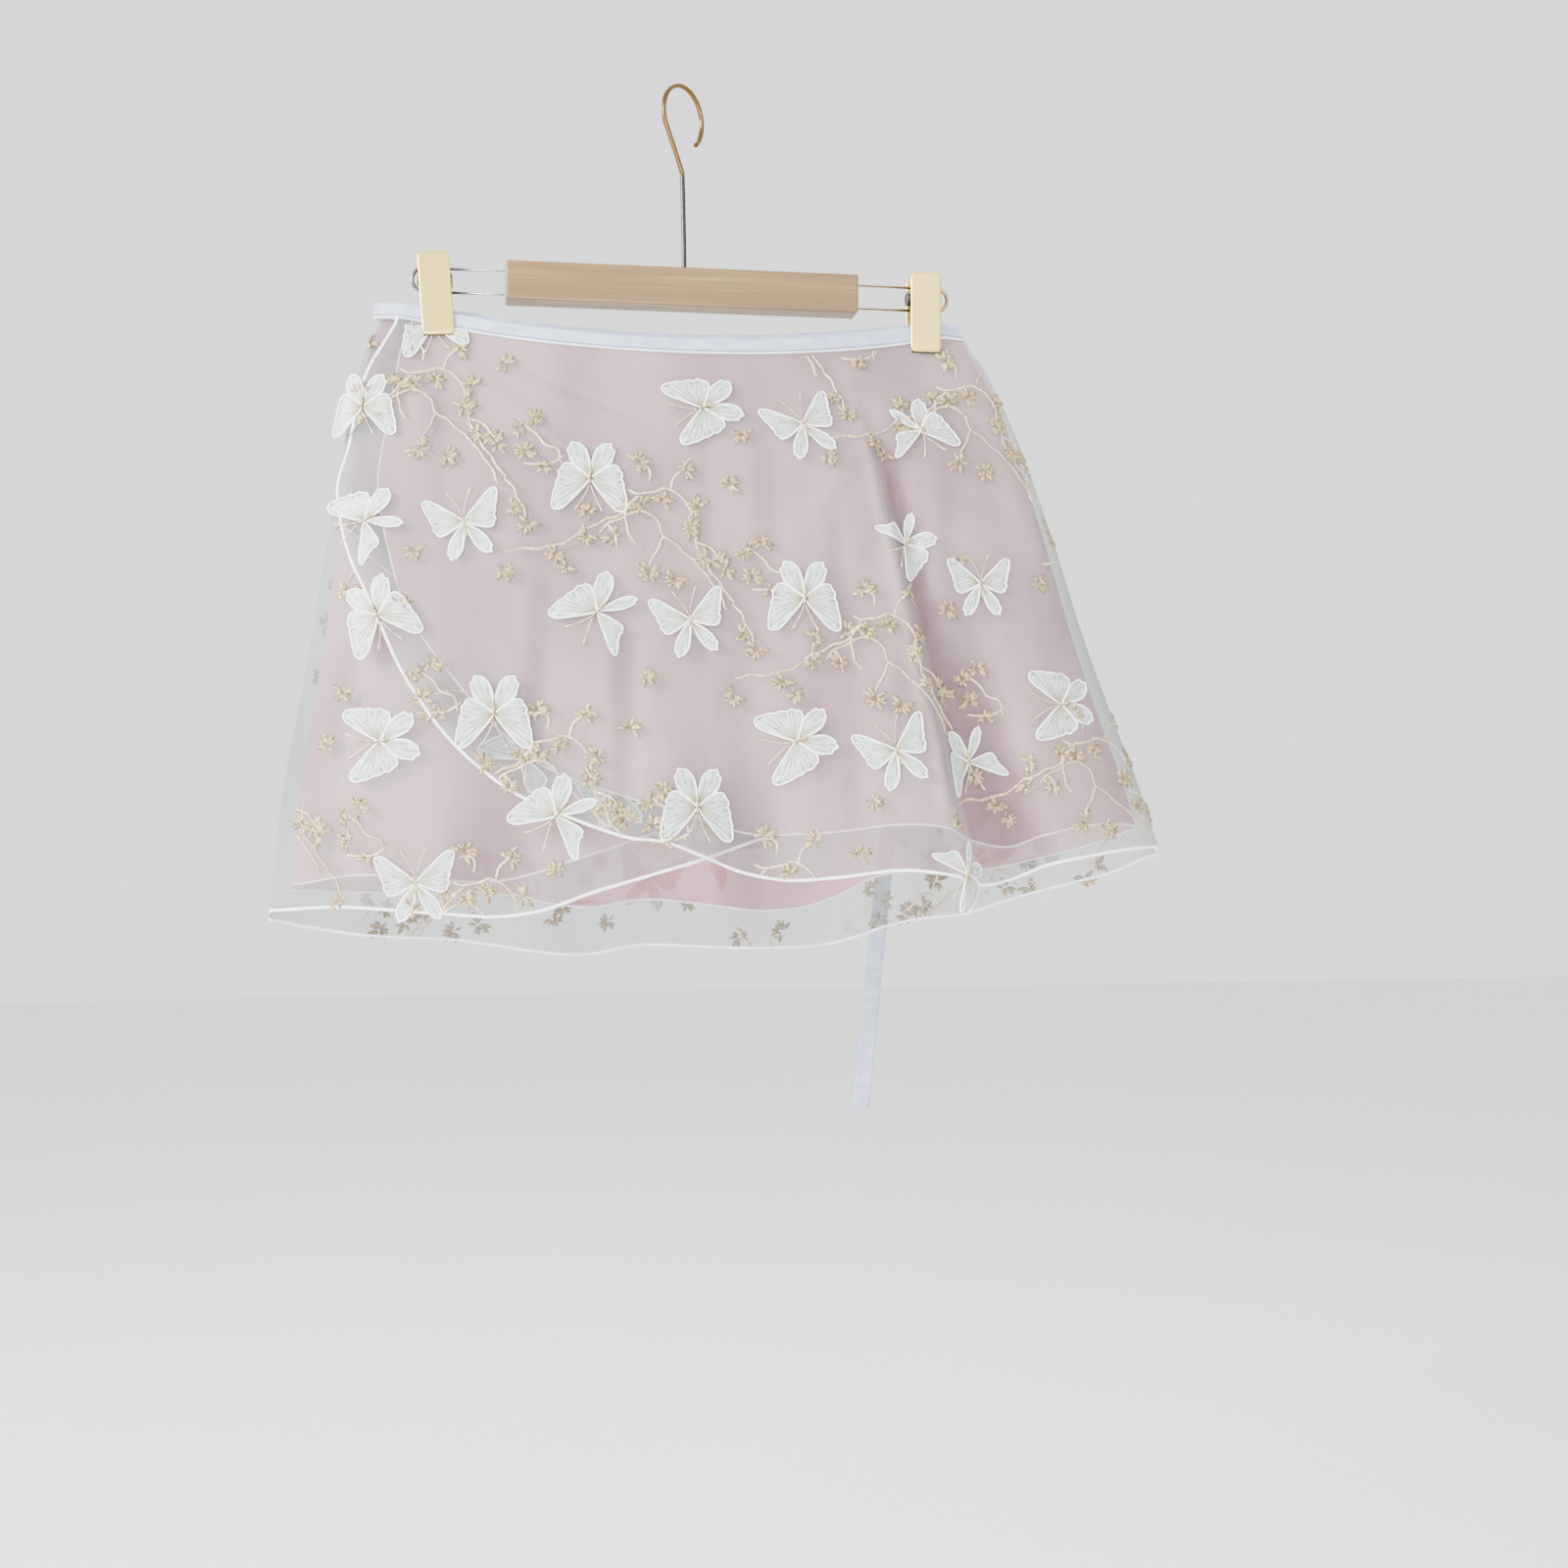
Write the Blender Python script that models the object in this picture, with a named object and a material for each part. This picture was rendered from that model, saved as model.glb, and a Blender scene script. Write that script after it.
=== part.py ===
"""A short wrap ballet skirt on a clip hanger.

The skirt is two layers, embroidered organza over a liner, bound at the waist with a satin ribbon. One end
wraps across the front over the other, and the ribbon runs on as a tie. A wooden hanger with two sprung clips
holds it flat at the waist, and below the waist it opens into a shallow bell with a longer back.

Metres, +Z up, +X along the hanger's bar, the front towards -Y. The origin is the inside top of the hook.
Round the skirt a place is an angle from the middle of the front: +90 degrees at the right side, 180 at the
middle of the back, 270 (or -90) at the left side. Down the skirt it is the drop below the origin.
"""

import math
from typing import NamedTuple

import bpy
import numpy as np

# Hanger
BAR_LENGTH = 0.226
BAR_DEPTH = 0.020
BAR_HEIGHT = 0.0245
BAR_DROP = 0.1292
BAR_EDGE = 0.0012
HOOK_WIRE = 0.0032
HOOK_RADIUS = 0.0196
HOOK_SWIVEL = math.radians(46.0)
HOOK_BEND_START = math.radians(218.0)
HOOK_SWEEP_END = math.radians(-52.0)
HOOK_BEND_PLACES = 22
RAIL_WIRE = 0.0023
RAIL_DROPS = (0.1218, 0.1368)
RAIL_ENDS = {"left": -0.1722, "right": 0.1752}
CLIP_WIDTH = 0.0200
CLIP_HEIGHT = 0.0520
CLIP_PLATE = 0.0011
CLIP_DROP = 0.1392
CLIP_CENTRES = {"left": (-0.1563, math.radians(-4.0)), "right": (0.1582, 0.0)}
CLIP_FRONT_GAP = 0.0072
CLIP_BACK_GAP = 0.0062
PLATE_EDGE = 0.00033
SPRING_LENGTH = 0.0216
SPRING_HEIGHT = 0.0092
SPRING_SHIFT = -0.0006

# Cloth
WALL_AT_WAIST = 0.0012
WALL_GROWTH = 0.0004
SEAM_GAP = 0.0003
BAND_HEIGHT = 0.0098
TIE_WIDTH = 0.0120
TIE_BELOW_BAND = 0.0002
TIE_WALL = 0.0010
WAIST_HALF_DEPTH = 0.0008
WAIST_BOW = {"front": 0.0120, "back": 0.0080}
WAIST_BOW_POWER = 1.5
WAIST_SQUARENESS = 8.0
BAND_END_DROP = 0.1555
BAND_SAG = {"front": 0.0185, "back": 0.0110}
BAND_SAG_REACH = 0.170
BAND_SAG_POWER = 1.1
BAND_HALF_LENGTH = 0.187
PAIR_AT_WAIST = 0.0016
PAIR_AT_FRONT = 0.0042
PAIR_AT_SIDE = 0.0105
TURN_MARGIN = 0.0017
TURN_MARGIN_HEM = 0.0048
SPREAD_FROM = 0.160
SPREAD_LENGTH = 0.360
SPREAD_POWER = 0.8
BELL_FROM = 0.160
BELL_LENGTH = 0.085
FOLD_GROWTH = 1.1
FOLD_SIDE_FADE = 0.5
TURN_FADE = (math.radians(61.0), math.radians(83.0))
SEAM_ANGLE = 0.12
TOP_CORNER = {"organza": -67.5, "liner": -62.0}
UNDER_CORNER = {"organza": 54.0, "liner": 52.0}
TIE_RUN_END = 114.0
TOP_COLUMNS = 40
UNDER_COLUMNS = 38
BACK_COLUMNS = 54
TIE_COLUMNS = 36
ROWS = 9
ROW_CROWDING = 1.6
EDGE_CROWDING = 1.6
PACE_HALF_WIDTH = 0.280
PACE_HALF_DEPTH = 0.075
PACE_PLACES = 721


class Section(NamedTuple):
    """The loop of the liner at one level: its two sides and how far its front and back stand off."""

    drop: float
    left: float
    right: float
    front: float
    back: float


SECTIONS = (
    Section(0.140, -0.1885, 0.1770, 0.004, 0.003),
    Section(0.155, -0.1895, 0.1835, 0.006, 0.006),
    Section(0.175, -0.1970, 0.1970, 0.013, 0.014),
    Section(0.200, -0.2030, 0.2090, 0.021, 0.022),
    Section(0.250, -0.2100, 0.2280, 0.030, 0.036),
    Section(0.300, -0.2175, 0.2440, 0.037, 0.048),
    Section(0.350, -0.2240, 0.2590, 0.042, 0.057),
    Section(0.400, -0.2315, 0.2765, 0.046, 0.065),
    Section(0.450, -0.2395, 0.2950, 0.049, 0.072),
    Section(0.500, -0.2440, 0.3080, 0.051, 0.078),
    Section(0.570, -0.2475, 0.3170, 0.052, 0.084),
)


class Fold(NamedTuple):
    """A fold that deepens from its upper end to the hem, a ridge if depth is positive, else a trough."""

    side: str
    upper_x: float
    upper_drop: float
    hem_x: float
    left_width: float
    right_width: float
    depth: float


HEM_LEVEL = 0.500
BACK_HEM_LEVEL = 0.530
FOLDS = (
    Fold("front", 0.108, 0.215, 0.157, 0.060, 0.013, 0.015),
    Fold("front", 0.138, 0.250, 0.192, 0.030, 0.030, -0.011),
    Fold("front", 0.172, 0.300, 0.232, 0.014, 0.034, 0.007),
    Fold("front", -0.018, 0.330, -0.022, 0.022, 0.030, 0.005),
    Fold("front", 0.035, 0.350, 0.032, 0.026, 0.030, -0.006),
    Fold("front", -0.110, 0.340, -0.120, 0.034, 0.030, -0.006),
    Fold("front", -0.165, 0.350, -0.190, 0.026, 0.030, 0.005),
    Fold("back", 0.205, 0.260, 0.245, 0.026, 0.026, 0.007),
    Fold("back", 0.150, 0.240, 0.178, 0.024, 0.022, -0.006),
    Fold("back", 0.095, 0.230, 0.112, 0.024, 0.026, 0.008),
    Fold("back", 0.045, 0.260, 0.050, 0.024, 0.024, -0.006),
    Fold("back", -0.012, 0.240, -0.012, 0.024, 0.026, 0.007),
    Fold("back", -0.060, 0.280, -0.070, 0.022, 0.024, -0.005),
    Fold("back", -0.110, 0.250, -0.128, 0.024, 0.024, 0.008),
    Fold("back", -0.155, 0.270, -0.186, 0.022, 0.020, -0.005),
)


class EdgePoint(NamedTuple):
    """A point of a panel's hem and free edge: along the bar from its middle, and its drop."""

    x: float
    drop: float


TOP_ORGANZA_EDGE = (
    EdgePoint(-0.189, 0.173), EdgePoint(-0.197, 0.187), EdgePoint(-0.203, 0.205), EdgePoint(-0.209, 0.236),
    EdgePoint(-0.216, 0.262), EdgePoint(-0.214, 0.285), EdgePoint(-0.208, 0.308), EdgePoint(-0.193, 0.340),
    EdgePoint(-0.176, 0.378), EdgePoint(-0.151, 0.415), EdgePoint(-0.124, 0.441), EdgePoint(-0.097, 0.458),
    EdgePoint(-0.045, 0.478), EdgePoint(-0.018, 0.482), EdgePoint(0.008, 0.492), EdgePoint(0.030, 0.501),
    EdgePoint(0.058, 0.506), EdgePoint(0.091, 0.504), EdgePoint(0.127, 0.500), EdgePoint(0.158, 0.503),
    EdgePoint(0.183, 0.510), EdgePoint(0.205, 0.507), EdgePoint(0.233, 0.497), EdgePoint(0.274, 0.490),
    EdgePoint(0.300, 0.488), EdgePoint(0.330, 0.492),
)
TOP_LINER_EDGE = (
    EdgePoint(-0.178, 0.176), EdgePoint(-0.181, 0.195), EdgePoint(-0.186, 0.225), EdgePoint(-0.191, 0.258),
    EdgePoint(-0.188, 0.285), EdgePoint(-0.183, 0.308), EdgePoint(-0.172, 0.343), EdgePoint(-0.151, 0.374),
    EdgePoint(-0.128, 0.402), EdgePoint(-0.105, 0.425), EdgePoint(-0.080, 0.441), EdgePoint(-0.037, 0.456),
    EdgePoint(-0.008, 0.463), EdgePoint(0.016, 0.472), EdgePoint(0.040, 0.478), EdgePoint(0.083, 0.477),
    EdgePoint(0.128, 0.472), EdgePoint(0.157, 0.474), EdgePoint(0.180, 0.483), EdgePoint(0.204, 0.487),
    EdgePoint(0.225, 0.480), EdgePoint(0.252, 0.474), EdgePoint(0.280, 0.473), EdgePoint(0.312, 0.477),
)
UNDER_ORGANZA_EDGE = (
    EdgePoint(-0.270, 0.527), EdgePoint(-0.254, 0.525), EdgePoint(-0.211, 0.522), EdgePoint(-0.151, 0.526),
    EdgePoint(-0.120, 0.528), EdgePoint(-0.091, 0.524), EdgePoint(-0.060, 0.513), EdgePoint(-0.026, 0.503),
    EdgePoint(0.008, 0.493), EdgePoint(0.050, 0.478), EdgePoint(0.092, 0.458), EdgePoint(0.130, 0.434),
    EdgePoint(0.160, 0.403), EdgePoint(0.180, 0.365), EdgePoint(0.189, 0.325), EdgePoint(0.188, 0.280),
    EdgePoint(0.183, 0.240), EdgePoint(0.174, 0.206),
)
UNDER_LINER_EDGE = (
    EdgePoint(-0.255, 0.511), EdgePoint(-0.235, 0.508), EdgePoint(-0.205, 0.503), EdgePoint(-0.165, 0.504),
    EdgePoint(-0.127, 0.507), EdgePoint(-0.100, 0.503), EdgePoint(-0.067, 0.492), EdgePoint(-0.040, 0.483),
    EdgePoint(0.000, 0.468), EdgePoint(0.040, 0.451), EdgePoint(0.080, 0.430), EdgePoint(0.115, 0.404),
    EdgePoint(0.142, 0.372), EdgePoint(0.160, 0.335), EdgePoint(0.168, 0.295), EdgePoint(0.168, 0.258),
    EdgePoint(0.165, 0.228),
)
BACK_ORGANZA_EDGE = (
    EdgePoint(0.330, 0.491), EdgePoint(0.322, 0.496), EdgePoint(0.300, 0.508), EdgePoint(0.257, 0.521),
    EdgePoint(0.230, 0.529), EdgePoint(0.203, 0.537), EdgePoint(0.175, 0.540), EdgePoint(0.150, 0.546),
    EdgePoint(0.125, 0.555), EdgePoint(0.100, 0.560), EdgePoint(0.040, 0.560), EdgePoint(-0.020, 0.558),
    EdgePoint(-0.060, 0.563), EdgePoint(-0.100, 0.559), EdgePoint(-0.150, 0.551), EdgePoint(-0.200, 0.546),
    EdgePoint(-0.240, 0.538), EdgePoint(-0.262, 0.530), EdgePoint(-0.270, 0.527),
)
BACK_LINER_EDGE = (
    EdgePoint(0.312, 0.477), EdgePoint(0.304, 0.482), EdgePoint(0.280, 0.491), EdgePoint(0.240, 0.502),
    EdgePoint(0.195, 0.509), EdgePoint(0.168, 0.507), EdgePoint(0.140, 0.512), EdgePoint(0.118, 0.524),
    EdgePoint(0.092, 0.532), EdgePoint(0.060, 0.534), EdgePoint(0.018, 0.529), EdgePoint(-0.020, 0.526),
    EdgePoint(-0.062, 0.530), EdgePoint(-0.123, 0.520), EdgePoint(-0.165, 0.519), EdgePoint(-0.220, 0.516),
    EdgePoint(-0.246, 0.513), EdgePoint(-0.255, 0.511),
)


EDGES = {
    "top": {"organza": TOP_ORGANZA_EDGE, "liner": TOP_LINER_EDGE},
    "under": {"organza": UNDER_ORGANZA_EDGE, "liner": UNDER_LINER_EDGE},
    "back": {"organza": BACK_ORGANZA_EDGE, "liner": BACK_LINER_EDGE},
}


class TiePoint(NamedTuple):
    """A point of the tie that hangs down behind: across, from front to back, drop and turn of its face."""

    x: float
    y: float
    drop: float
    turn: float


HANGING_TIE = (
    TiePoint(0.1605, 0.0049, 0.1500, 0.0), TiePoint(0.1600, 0.0050, 0.1665, 0.0),
    TiePoint(0.1597, 0.0066, 0.1790, 0.0), TiePoint(0.1594, 0.0090, 0.1890, 0.0),
    TiePoint(0.1590, 0.0128, 0.1990, 0.0), TiePoint(0.1586, 0.0214, 0.2190, 0.0),
    TiePoint(0.1580, 0.0332, 0.2490, 0.0), TiePoint(0.1575, 0.0402, 0.2800, 0.0),
    TiePoint(0.1565, 0.0530, 0.3500, 0.0), TiePoint(0.1545, 0.0690, 0.4300, 0.0),
    TiePoint(0.1500, 0.0880, 0.5100, 4.0), TiePoint(0.1470, 0.0940, 0.5500, 6.0),
    TiePoint(0.1425, 0.0955, 0.6000, 6.0), TiePoint(0.1350, 0.0955, 0.6750, 0.0),
)
INNER_TIE = (
    TiePoint(0.1586, -0.0016, 0.1500, 0.0), TiePoint(0.1586, -0.0016, 0.1610, 0.0),
    TiePoint(0.1586, -0.0008, 0.1680, 0.0), TiePoint(0.1586, -0.0001, 0.1760, 0.0),
    TiePoint(0.1560, 0.0000, 0.2000, 0.0), TiePoint(0.1550, 0.0030, 0.2800, 6.0),
    TiePoint(0.1540, 0.0060, 0.3600, 10.0), TiePoint(0.1520, 0.0080, 0.4300, 4.0),
)


def smooth(t):
    """Rises from 0 to 1 with level ends."""
    t = np.clip(t, 0.0, 1.0)
    return t * t * (3.0 - 2.0 * t)


def through(rows, name, drops):
    """A smooth curve through one column of the sections, read at the given drops."""
    knots = np.array([row.drop for row in rows])
    values = np.array([getattr(row, name) for row in rows])
    slopes = np.gradient(values, knots)
    drops = np.clip(drops, knots[0], knots[-1])
    i = np.clip(np.searchsorted(knots, drops) - 1, 0, len(knots) - 2)
    step = knots[i + 1] - knots[i]
    t = (drops - knots[i]) / step
    rise = values[i + 1] - values[i]
    bend_a = slopes[i] * step - rise
    bend_b = rise - slopes[i + 1] * step
    return values[i] + rise * t + t * (1.0 - t) * (bend_a * (1.0 - t) + bend_b * t)


def spread(drop):
    """How far down its flare a level is, from 0 at the waist to 1 at the hem."""
    return np.clip((drop - SPREAD_FROM) / SPREAD_LENGTH, 0.0, None) ** SPREAD_POWER


def pair_offset(angle, drop):
    """How far the organza stands outside the liner: more at the sides and towards the hem."""
    side = np.sin(angle) ** 2
    return PAIR_AT_WAIST + spread(drop) * (PAIR_AT_FRONT + (PAIR_AT_SIDE - PAIR_AT_FRONT) * side)


def turn_offset(angle, drop):
    """How far the top wrap stands outside the under wrap. It fades out before the right side."""
    full = pair_offset(angle, drop) + TURN_MARGIN + TURN_MARGIN_HEM * spread(drop)
    fade = 1.0 - smooth((angle - TURN_FADE[0]) / (TURN_FADE[1] - TURN_FADE[0]))
    return full * fade


def fold_depth(side, x, drop, outer):
    """The sum of the folds of the front or the back at a place, positive outwards.

    The panel under the front shares its troughs, and only the outer cloth stands up in ridges.
    """
    depth = np.zeros_like(x)
    for fold in FOLDS:
        if fold.side != side or (fold.depth > 0.0 and not outer):
            continue
        along = (drop - fold.upper_drop) / (HEM_LEVEL - fold.upper_drop)
        centre = fold.upper_x + (fold.hem_x - fold.upper_x) * along
        away = x - centre
        width = np.where(away < 0.0, fold.left_width, fold.right_width)
        depth = depth + fold.depth * smooth(along / FOLD_GROWTH) * np.exp(-((away / width) ** 2))
    return depth


def waist_depth(side, x):
    """How far the flat waist stands off its middle plane: pressed at the clips, bowed between them."""
    reach = CLIP_CENTRES["right"][0] - CLIP_WIDTH / 2.0
    bow = WAIST_BOW[side] * np.clip(1.0 - (x / reach) ** 2, 0.0, None) ** WAIST_BOW_POWER
    return bow + WAIST_HALF_DEPTH


def rounding(across):
    """One over the middle, falling to nothing at the sides as a rounded box does."""
    return np.clip(1.0 - np.abs(across) ** WAIST_SQUARENESS, 0.0, None) ** (1.0 / WAIST_SQUARENESS)


def cloth_point(angle, drop, offset, outer=True):
    """A point of the skirt at an angle and a drop, its cloth standing outside the liner by the offset."""
    left = through(SECTIONS, "left", drop)
    right = through(SECTIONS, "right", drop)
    centre = (left + right) / 2.0
    half = (right - left) / 2.0
    across = np.sin(angle)
    along = np.cos(angle)
    bell = smooth((drop - BELL_FROM) / BELL_LENGTH)
    base_x = centre + half * across
    reach = {}
    for side in ("front", "back"):
        flat = (waist_depth(side, base_x) + offset) * rounding(across)
        round_depth = (through(SECTIONS, side, drop) + offset) * np.abs(along)
        folds = fold_depth(side, base_x, drop, outer or side == "back") * np.abs(along) ** FOLD_SIDE_FADE
        reach[side] = (1.0 - bell) * flat + bell * round_depth + folds
    x = base_x + offset * across
    y = np.where(along >= 0.0, -reach["front"], reach["back"])
    return np.stack([x, y, -drop], axis=-1)


def band_bottom(angle):
    """The drop of the waistband's lower edge, which sags between the clips."""
    across = np.sin(angle) * BAND_HALF_LENGTH
    sag = np.where(np.cos(angle) >= 0.0, BAND_SAG["front"], BAND_SAG["back"])
    return BAND_END_DROP + sag * np.clip(1.0 - (across / BAND_SAG_REACH) ** 2, 0.0, None) ** BAND_SAG_POWER


def angle_at(x, drop, offset, side):
    """The angle whose cloth lies at x, on the front or the back of the skirt."""
    left = through(SECTIONS, "left", drop)
    right = through(SECTIONS, "right", drop)
    across = (x - (left + right) / 2.0) / ((right - left) / 2.0 + offset)
    front = np.arcsin(np.clip(across, -1.0, 1.0))
    return front if side == "front" else math.pi - front


def along_edge(points, count):
    """Evenly spaced places on a smooth curve through an edge's points, closer together at the sharp fold."""
    knots = np.array([(p.x, p.drop) for p in points])
    padded = np.vstack([2.0 * knots[0] - knots[1], knots, 2.0 * knots[-1] - knots[-2]])
    t = np.linspace(0.0, 1.0, 12, endpoint=False)[:, None]
    pieces = []
    for a, b, c, d in zip(padded[:-3], padded[1:-2], padded[2:-1], padded[3:]):
        pieces.append(0.5 * (2.0 * b + (c - a) * t + (2.0 * a - 5.0 * b + 4.0 * c - d) * t**2
                             + (3.0 * b - a - 3.0 * c + d) * t**3))
    curve = np.vstack(pieces + [knots[-1:]])
    steps = np.linalg.norm(np.diff(curve, axis=0), axis=1)
    middle = (curve[1:, 0] + curve[:-1, 0]) / 2.0
    weight = 1.0 + EDGE_CROWDING * np.exp(-(((middle - FOLDS[0].hem_x) / FOLDS[0].left_width) ** 2))
    travelled = np.concatenate([[0.0], np.cumsum(steps * weight)])
    places = np.linspace(0.0, travelled[-1], count)
    return np.interp(places, travelled, curve[:, 0]), np.interp(places, travelled, curve[:, 1])


def offset_of(layer, turn, angle, drop):
    """How far a layer stands outside the first turn of the liner."""
    offset = pair_offset(angle, drop) if layer == "organza" else np.zeros_like(angle)
    if turn == "top":
        offset = offset + turn_offset(angle, drop)
    return offset


def back_hem(layer, angles):
    """The drop of the back's hem at each angle."""
    knots = np.array([(p.x, p.drop) for p in EDGES["back"][layer]])
    level = np.full_like(angles, BACK_HEM_LEVEL)
    x = cloth_point(angles, level, offset_of(layer, "back", angles, level))[:, 0]
    return np.interp(-x, -knots[:, 0], knots[:, 1])


def panel_places(layer, turn, top_angles):
    """Angles and drops of a panel: straight down the back, and on a fan over the front.

    The columns of a fan run from the waistband to even places along the panel's hem and free edge.
    """
    if turn == "back":
        edge_angle, edge_drop = top_angles, back_hem("organza", top_angles)
    else:
        edge_x, edge_drop = along_edge(EDGES[turn][layer], len(top_angles))
        near_angle = angle_at(edge_x, edge_drop, 0.0, "front")
        edge_angle = angle_at(edge_x, edge_drop, offset_of(layer, turn, near_angle, edge_drop), "front")
        seam = -1 if turn == "top" else 0
        edge_angle[seam] = top_angles[seam]
    top_drop = band_bottom(top_angles) + SEAM_GAP
    t = (np.linspace(0.0, 1.0, ROWS + 1) ** ROW_CROWDING)[None, :]
    angle = top_angles[:, None] * (1.0 - t) + edge_angle[:, None] * t
    drop = top_drop[:, None] * (1.0 - t) + edge_drop[:, None] * t
    if turn == "back":
        drop[:, -1] = back_hem(layer, top_angles)
    return angle, drop


def panel_faces(layer, turn, top_angles):
    """The outer and inner points of a panel's wall."""
    angle, drop = panel_places(layer, turn, top_angles)
    middle = offset_of(layer, turn, angle, drop)
    half = (WALL_AT_WAIST + WALL_GROWTH * spread(drop)) / 2.0
    outer = turn != "under"
    return cloth_point(angle, drop, middle + half, outer), cloth_point(angle, drop, middle - half, outer)


def material(name, colour, roughness, metallic=0.0, alpha=1.0):
    """A plain finish: a colour, its roughness, whether it is metal, and how much shows through."""
    finish = bpy.data.materials.new(name)
    finish.use_nodes = True
    shader = finish.node_tree.nodes["Principled BSDF"]
    shader.inputs["Base Color"].default_value = (*colour, 1.0)
    shader.inputs["Roughness"].default_value = roughness
    shader.inputs["Metallic"].default_value = metallic
    shader.inputs["Alpha"].default_value = alpha
    return finish


def add_object(name, mesh, finish):
    """Puts a mesh or curve into the scene under its own name."""
    mesh.materials.append(finish)
    item = bpy.data.objects.new(name, mesh)
    bpy.context.scene.collection.objects.link(item)
    return item


def signed_volume(points, faces):
    """The volume that the faces close, negative if they point inwards."""
    total = 0.0
    for face in faces:
        a = points[face[0]]
        for i in range(1, len(face) - 1):
            total += float(np.dot(a, np.cross(points[face[i]], points[face[i + 1]]))) / 6.0
    return total


def wall_object(name, outer, inner, finish):
    """A closed wall between two grids of points."""
    columns, rows = outer.shape[:2]
    points = np.vstack([outer.reshape(-1, 3), inner.reshape(-1, 3)])
    index = np.arange(columns * rows).reshape(columns, rows)
    back = index + columns * rows
    faces = []
    for i in range(columns - 1):
        for j in range(rows - 1):
            faces.append((index[i, j], index[i + 1, j], index[i + 1, j + 1], index[i, j + 1]))
            faces.append((back[i, j], back[i, j + 1], back[i + 1, j + 1], back[i + 1, j]))
    rim = [(i, 0) for i in range(columns)] + [(columns - 1, j) for j in range(1, rows)]
    rim += [(i, rows - 1) for i in range(columns - 2, -1, -1)] + [(0, j) for j in range(rows - 2, 0, -1)]
    for a, b in zip(rim, rim[1:] + rim[:1]):
        faces.append((index[b], index[a], back[a], back[b]))
    faces = [tuple(int(v) for v in face) for face in faces]
    if signed_volume(points, faces) < 0.0:
        faces = [face[::-1] for face in faces]
    mesh = bpy.data.meshes.new(name)
    mesh.from_pydata(points.tolist(), [], faces)
    mesh.shade_smooth()
    mesh.set_sharp_from_angle(angle=math.radians(50.0))
    return add_object(name, mesh, finish)


def box_object(name, size, centre, turn, bevel, finish):
    """A block with softened edges, turned about the front-to-back axis."""
    x, y, z = (s / 2.0 for s in size)
    corners = [(i * x, j * y, k * z) for i in (-1, 1) for j in (-1, 1) for k in (-1, 1)]
    faces = [(0, 1, 3, 2), (4, 6, 7, 5), (0, 4, 5, 1), (2, 3, 7, 6), (0, 2, 6, 4), (1, 5, 7, 3)]
    mesh = bpy.data.meshes.new(name)
    mesh.from_pydata(corners, [], faces)
    item = add_object(name, mesh, finish)
    item.location = centre
    item.rotation_euler = (0.0, turn, 0.0)
    if bevel > 0.0:
        soften = item.modifiers.new("Bevel", "BEVEL")
        soften.width = bevel
        soften.segments = 2
    return item


def wire_object(name, points, diameter, finish):
    """A bent wire with closed ends along a list of points."""
    curve = bpy.data.curves.new(name, "CURVE")
    curve.dimensions = "3D"
    curve.bevel_depth = diameter / 2.0
    curve.bevel_resolution = 3
    curve.use_fill_caps = True
    spline = curve.splines.new("POLY")
    spline.points.add(len(points) - 1)
    for target, point in zip(spline.points, points):
        target.co = (*point, 1.0)
    return add_object(name, curve, finish)


class StemPlace(NamedTuple):
    """A place on the hook's stem: across the hook's own plane, and its drop. The first stands on the bar."""

    across: float
    drop: float


HOOK_STEM = (
    StemPlace(0.0012, 0.1167), StemPlace(0.0008, 0.0947), StemPlace(0.0000, 0.0727),
    StemPlace(-0.0008, 0.0560), StemPlace(-0.0026, 0.0510), StemPlace(-0.0062, 0.0450),
)


def arc(centre, radius, start, end, count):
    """Places on an arc in a plane, from one angle to another."""
    return [(centre[0] + radius * math.cos(a), centre[1] + radius * math.sin(a))
            for a in np.linspace(start, end, count)]


def hook_points():
    """The hook: a stem, a lean to one side and a round bend over whatever carries it."""
    foot = (HOOK_STEM[0].across, -(BAR_DROP - BAR_HEIGHT / 2.0) + SEAM_GAP)
    centre = (0.0, HOOK_WIRE / 2.0 - HOOK_RADIUS)
    stem = [foot] + [(place.across, -place.drop) for place in HOOK_STEM[1:]]
    bend = arc(centre, HOOK_RADIUS, HOOK_BEND_START, HOOK_SWEEP_END, HOOK_BEND_PLACES)
    side = (math.cos(HOOK_SWIVEL), math.sin(HOOK_SWIVEL))
    return [(across * side[0], across * side[1], height) for across, height in stem + bend]


def rail_points(end, sign):
    """A rail: a wire out of the bar, round a half circle at its end and back into the bar."""
    inner = sign * (BAR_LENGTH / 2.0 + SEAM_GAP)
    radius = (RAIL_DROPS[1] - RAIL_DROPS[0]) / 2.0
    middle = -(RAIL_DROPS[0] + RAIL_DROPS[1]) / 2.0
    turn_x = end - sign * (radius + RAIL_WIRE / 2.0)
    bend = [(turn_x + sign * radius * math.cos(a), middle + radius * math.sin(a))
            for a in np.linspace(math.pi / 2.0, -math.pi / 2.0, 9)]
    flat = [(inner, -RAIL_DROPS[0])] + bend + [(inner, -RAIL_DROPS[1])]
    return [(x, 0.0, z) for x, z in flat]


def build_hanger(wood, metal, brass):
    """The wooden bar, its hook, the two rails and the two clips."""
    box_object("hanger_bar", (BAR_LENGTH, BAR_DEPTH, BAR_HEIGHT), (0.0, 0.0, -BAR_DROP), 0.0, BAR_EDGE, wood)
    wire_object("hanger_hook", hook_points(), HOOK_WIRE, metal)
    for side, sign in (("left", -1.0), ("right", 1.0)):
        wire_object(f"rail_{side}", rail_points(RAIL_ENDS[side], sign), RAIL_WIRE, metal)
        build_clip(side, brass, metal)


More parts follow.
